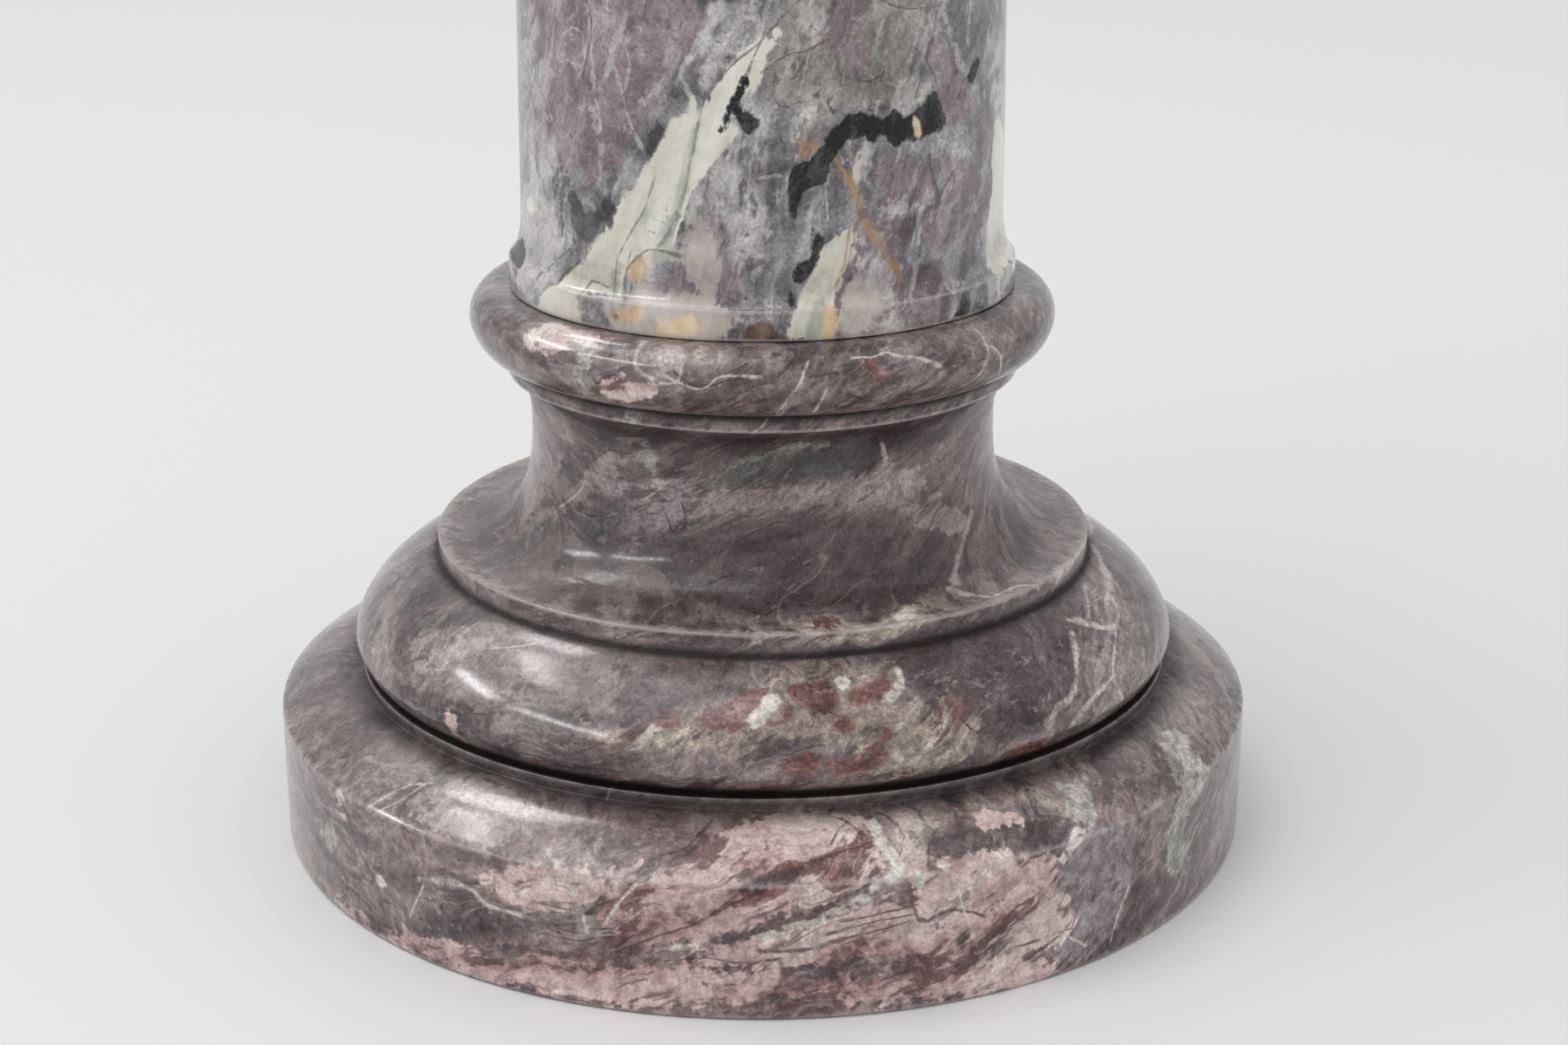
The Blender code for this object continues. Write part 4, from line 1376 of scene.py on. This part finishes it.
def breccia_marble():
    """The marble of the shaft: lilac grey, with mauve, ivory and black clasts and ochre stains."""
    stone = Marble("breccia_marble", BRECCIA_BEDDING, 0.022, 0.010, 0.0036)
    plain = stone.driver(streak=0.30, band=0.16, patchy=0.36, ragged=0.10, speck=0.08)
    greys = (
        (0.066, 0.062, 0.067),
        (0.142, 0.133, 0.141),
        (0.235, 0.222, 0.232),
        (0.350, 0.336, 0.342),
        (0.580, 0.566, 0.560),
    )
    stone.color = stone.tinted(plain, greys)
    mixed = stone.driver(streak=0.26, band=0.22, patchy=0.34, ragged=0.10, speck=0.08)
    beiges = ((0.130, 0.122, 0.108), (0.270, 0.254, 0.226), (0.430, 0.416, 0.376))
    stone.lay("beige", mixed, beiges, 0.010, 0.0040, 0.88)
    stone.flakes(24, 44, 0.560, 0.585, (0.180, 0.130, 0.146), 0.80)
    stone.flakes(16, 44, 0.52, 0.63, (0.560, 0.542, 0.536), stone.patchy.smooth(0.1, 0.7) * 0.85, 3)
    stone.flakes(40, 84, 0.585, 0.615, (0.060, 0.055, 0.060), stone.cloud.smooth(0.30, 0.60) * 0.75)
    stone.flakes(60, 120, 0.600, 0.630, (0.150, 0.104, 0.118), 0.70)
    smokes = ((0.260, 0.236, 0.240), (0.430, 0.404, 0.400), (0.600, 0.580, 0.565))
    stone.lay("smoke", mixed, smokes, 0.012, 0.0045, 0.85)
    mauves = ((0.110, 0.074, 0.086), (0.196, 0.146, 0.166), (0.280, 0.224, 0.248), (0.460, 0.414, 0.430))
    stone.lay("mauve", mixed, mauves, 0.007, 0.0014, 0.95)
    wines = ((0.050, 0.032, 0.033), (0.120, 0.088, 0.090), (0.225, 0.188, 0.194))
    stone.lay("wine", mixed, wines, 0.006, 0.0014, 0.95)
    stone.flakes(22, 110, 0.56, 0.68, (0.540, 0.516, 0.520), 0.60, 3)
    stone.flakes(110, 210, 0.60, 0.65, (0.500, 0.480, 0.476), stone.cloud.smooth(0.20, 0.60) * 0.55)
    stone.flakes(120, 240, 0.60, 0.65, (0.070, 0.056, 0.064), 0.55)
    stone.wisps(10, 60, 0.030, (0.560, 0.540, 0.536), stone.cloud.smooth(0.30, 0.80) * 0.32)
    stone.wisps(16, 80, 0.026, (0.062, 0.058, 0.062), (1 - stone.patchy).smooth(0.40, 0.80) * 0.50)
    stone.run_vein("pale_veins", (0.560, 0.540, 0.530), 0.48, 1.2, 0.7)
    stone.vary(0.84, 1.20, stone.speck)
    stone.vary(0.84, 1.20, stone.ragged)

    smooth = stone.driver(streak=0.55, band=0.15, patchy=0.20, ragged=0.10)
    ivories = ((0.500, 0.466, 0.380), (0.650, 0.624, 0.535), (0.735, 0.715, 0.640), (0.790, 0.775, 0.725))
    stone.lay("ivory", smooth, ivories, 0.005, 0.0007)
    blushes = ((0.300, 0.240, 0.225), (0.500, 0.440, 0.400), (0.660, 0.620, 0.570))
    stone.lay("pinkish", mixed, blushes, 0.010, 0.0030, 0.92)
    veil = ((0.150, 0.190, 0.150), (0.370, 0.400, 0.335), (0.620, 0.622, 0.560))
    stone.lay("green_veil", smooth, veil, 0.005, 0.0022, 0.85)
    stone.run_vein("green_veins", (0.170, 0.205, 0.170), 0.75, 1.2, 0.5, 2)
    ambers = ((0.420, 0.240, 0.090), (0.690, 0.470, 0.230), (0.820, 0.690, 0.490))
    stone.lay("amber", mixed, ambers, 0.004, 0.0016, 0.92)
    ochres = ((0.180, 0.086, 0.032), (0.400, 0.240, 0.110), (0.620, 0.470, 0.300))
    stone.lay("ochre", mixed, ochres, 0.007, 0.0034, stone.ragged.smooth(-0.4, 0.5) * 0.95)
    rusts = ((0.022, 0.010, 0.006), (0.085, 0.047, 0.026), (0.240, 0.165, 0.110))
    stone.lay("rust", mixed, rusts, 0.006, 0.0020)
    stone.run_vein("dark_veins", (0.045, 0.045, 0.044), 0.70, 1.2, 0.6)
    stone.run_vein("ochre_veins", (0.400, 0.225, 0.080), 0.75, 1.6, 0.6, 2)
    slates = ((0.010, 0.010, 0.013), (0.042, 0.041, 0.048), (0.190, 0.186, 0.196))
    stone.lay("slate", mixed, slates, 0.007, 0.0018, 0.95)
    blacks = ((0.003, 0.003, 0.004), (0.008, 0.008, 0.009), (0.060, 0.057, 0.060))
    stone.lay("black", stone.driver(band=0.5, ragged=0.2, speck=0.3), blacks, 0.0042, 0.0006)
    stone.lay("cream_chip", stone.ragged, ((0.56, 0.42, 0.27), (0.76, 0.62, 0.44)), 0.001, 0.0003)
    return stone.finish()


# Copies of the traced veining: the turn in degrees, the rise, the width (below zero if mirrored),
# and the lean, which is how far the veining drops over a radian
BASE_COPIES = ((0, 0, 1, 0), (176, -0.004, -1.05, 0))
SHAFT_COPIES = (
    (0, 0, 1, 0),
    (177, -0.010, -1.15, 0),
    (70, 0.150, -0.85, -0.055),
    (232, 0.170, 1.30, -0.050),
    (134, 0.310, 1.10, 0.070),
    (305, 0.280, -1.25, -0.065),
    (20, 0.450, -1.10, 0.050),
    (190, 0.430, 0.85, -0.045),
    (95, 0.600, 1.25, -0.070),
    (262, 0.570, -0.90, 0.045),
    (150, 0.700, -1.20, 0.060),
    (330, 0.680, 1.10, -0.055),
)
CAP_COPIES = ((34, 0.110, 1.10, 0), (210, 0.120, -0.95, 0))

base_line, shaft_line, cap_line = base_profile(), shaft_profile(), cap_profile()
plum_veining = Veining(base_line, BASE_PATCHES, BASE_VEINS)
breccia_veining = Veining(shaft_line, SHAFT_PATCHES, SHAFT_VEINS)
plum, breccia = plum_marble(), breccia_marble()

STONES = (
    ("turned_base", base_line, "base", "plum_marble", plum, plum_veining, BASE_COPIES),
    ("turned_shaft", shaft_line, "shaft", "breccia_marble", breccia, breccia_veining, SHAFT_COPIES),
    ("turned_cap", cap_line, "cap", "cap_plum_marble", plum, plum_veining, CAP_COPIES),
)
for name, profile, node, slot, marble, veining, copies in STONES:
    stone = turned(name, profile)
    veining.lay_on(stone, profile, copies)
    stone.data.materials.append(marble)
    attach(stone, "root")
    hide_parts(node)

pale_stage()
lit_room()
make_camera()
bpy.context.scene.view_settings.view_transform = "Standard"
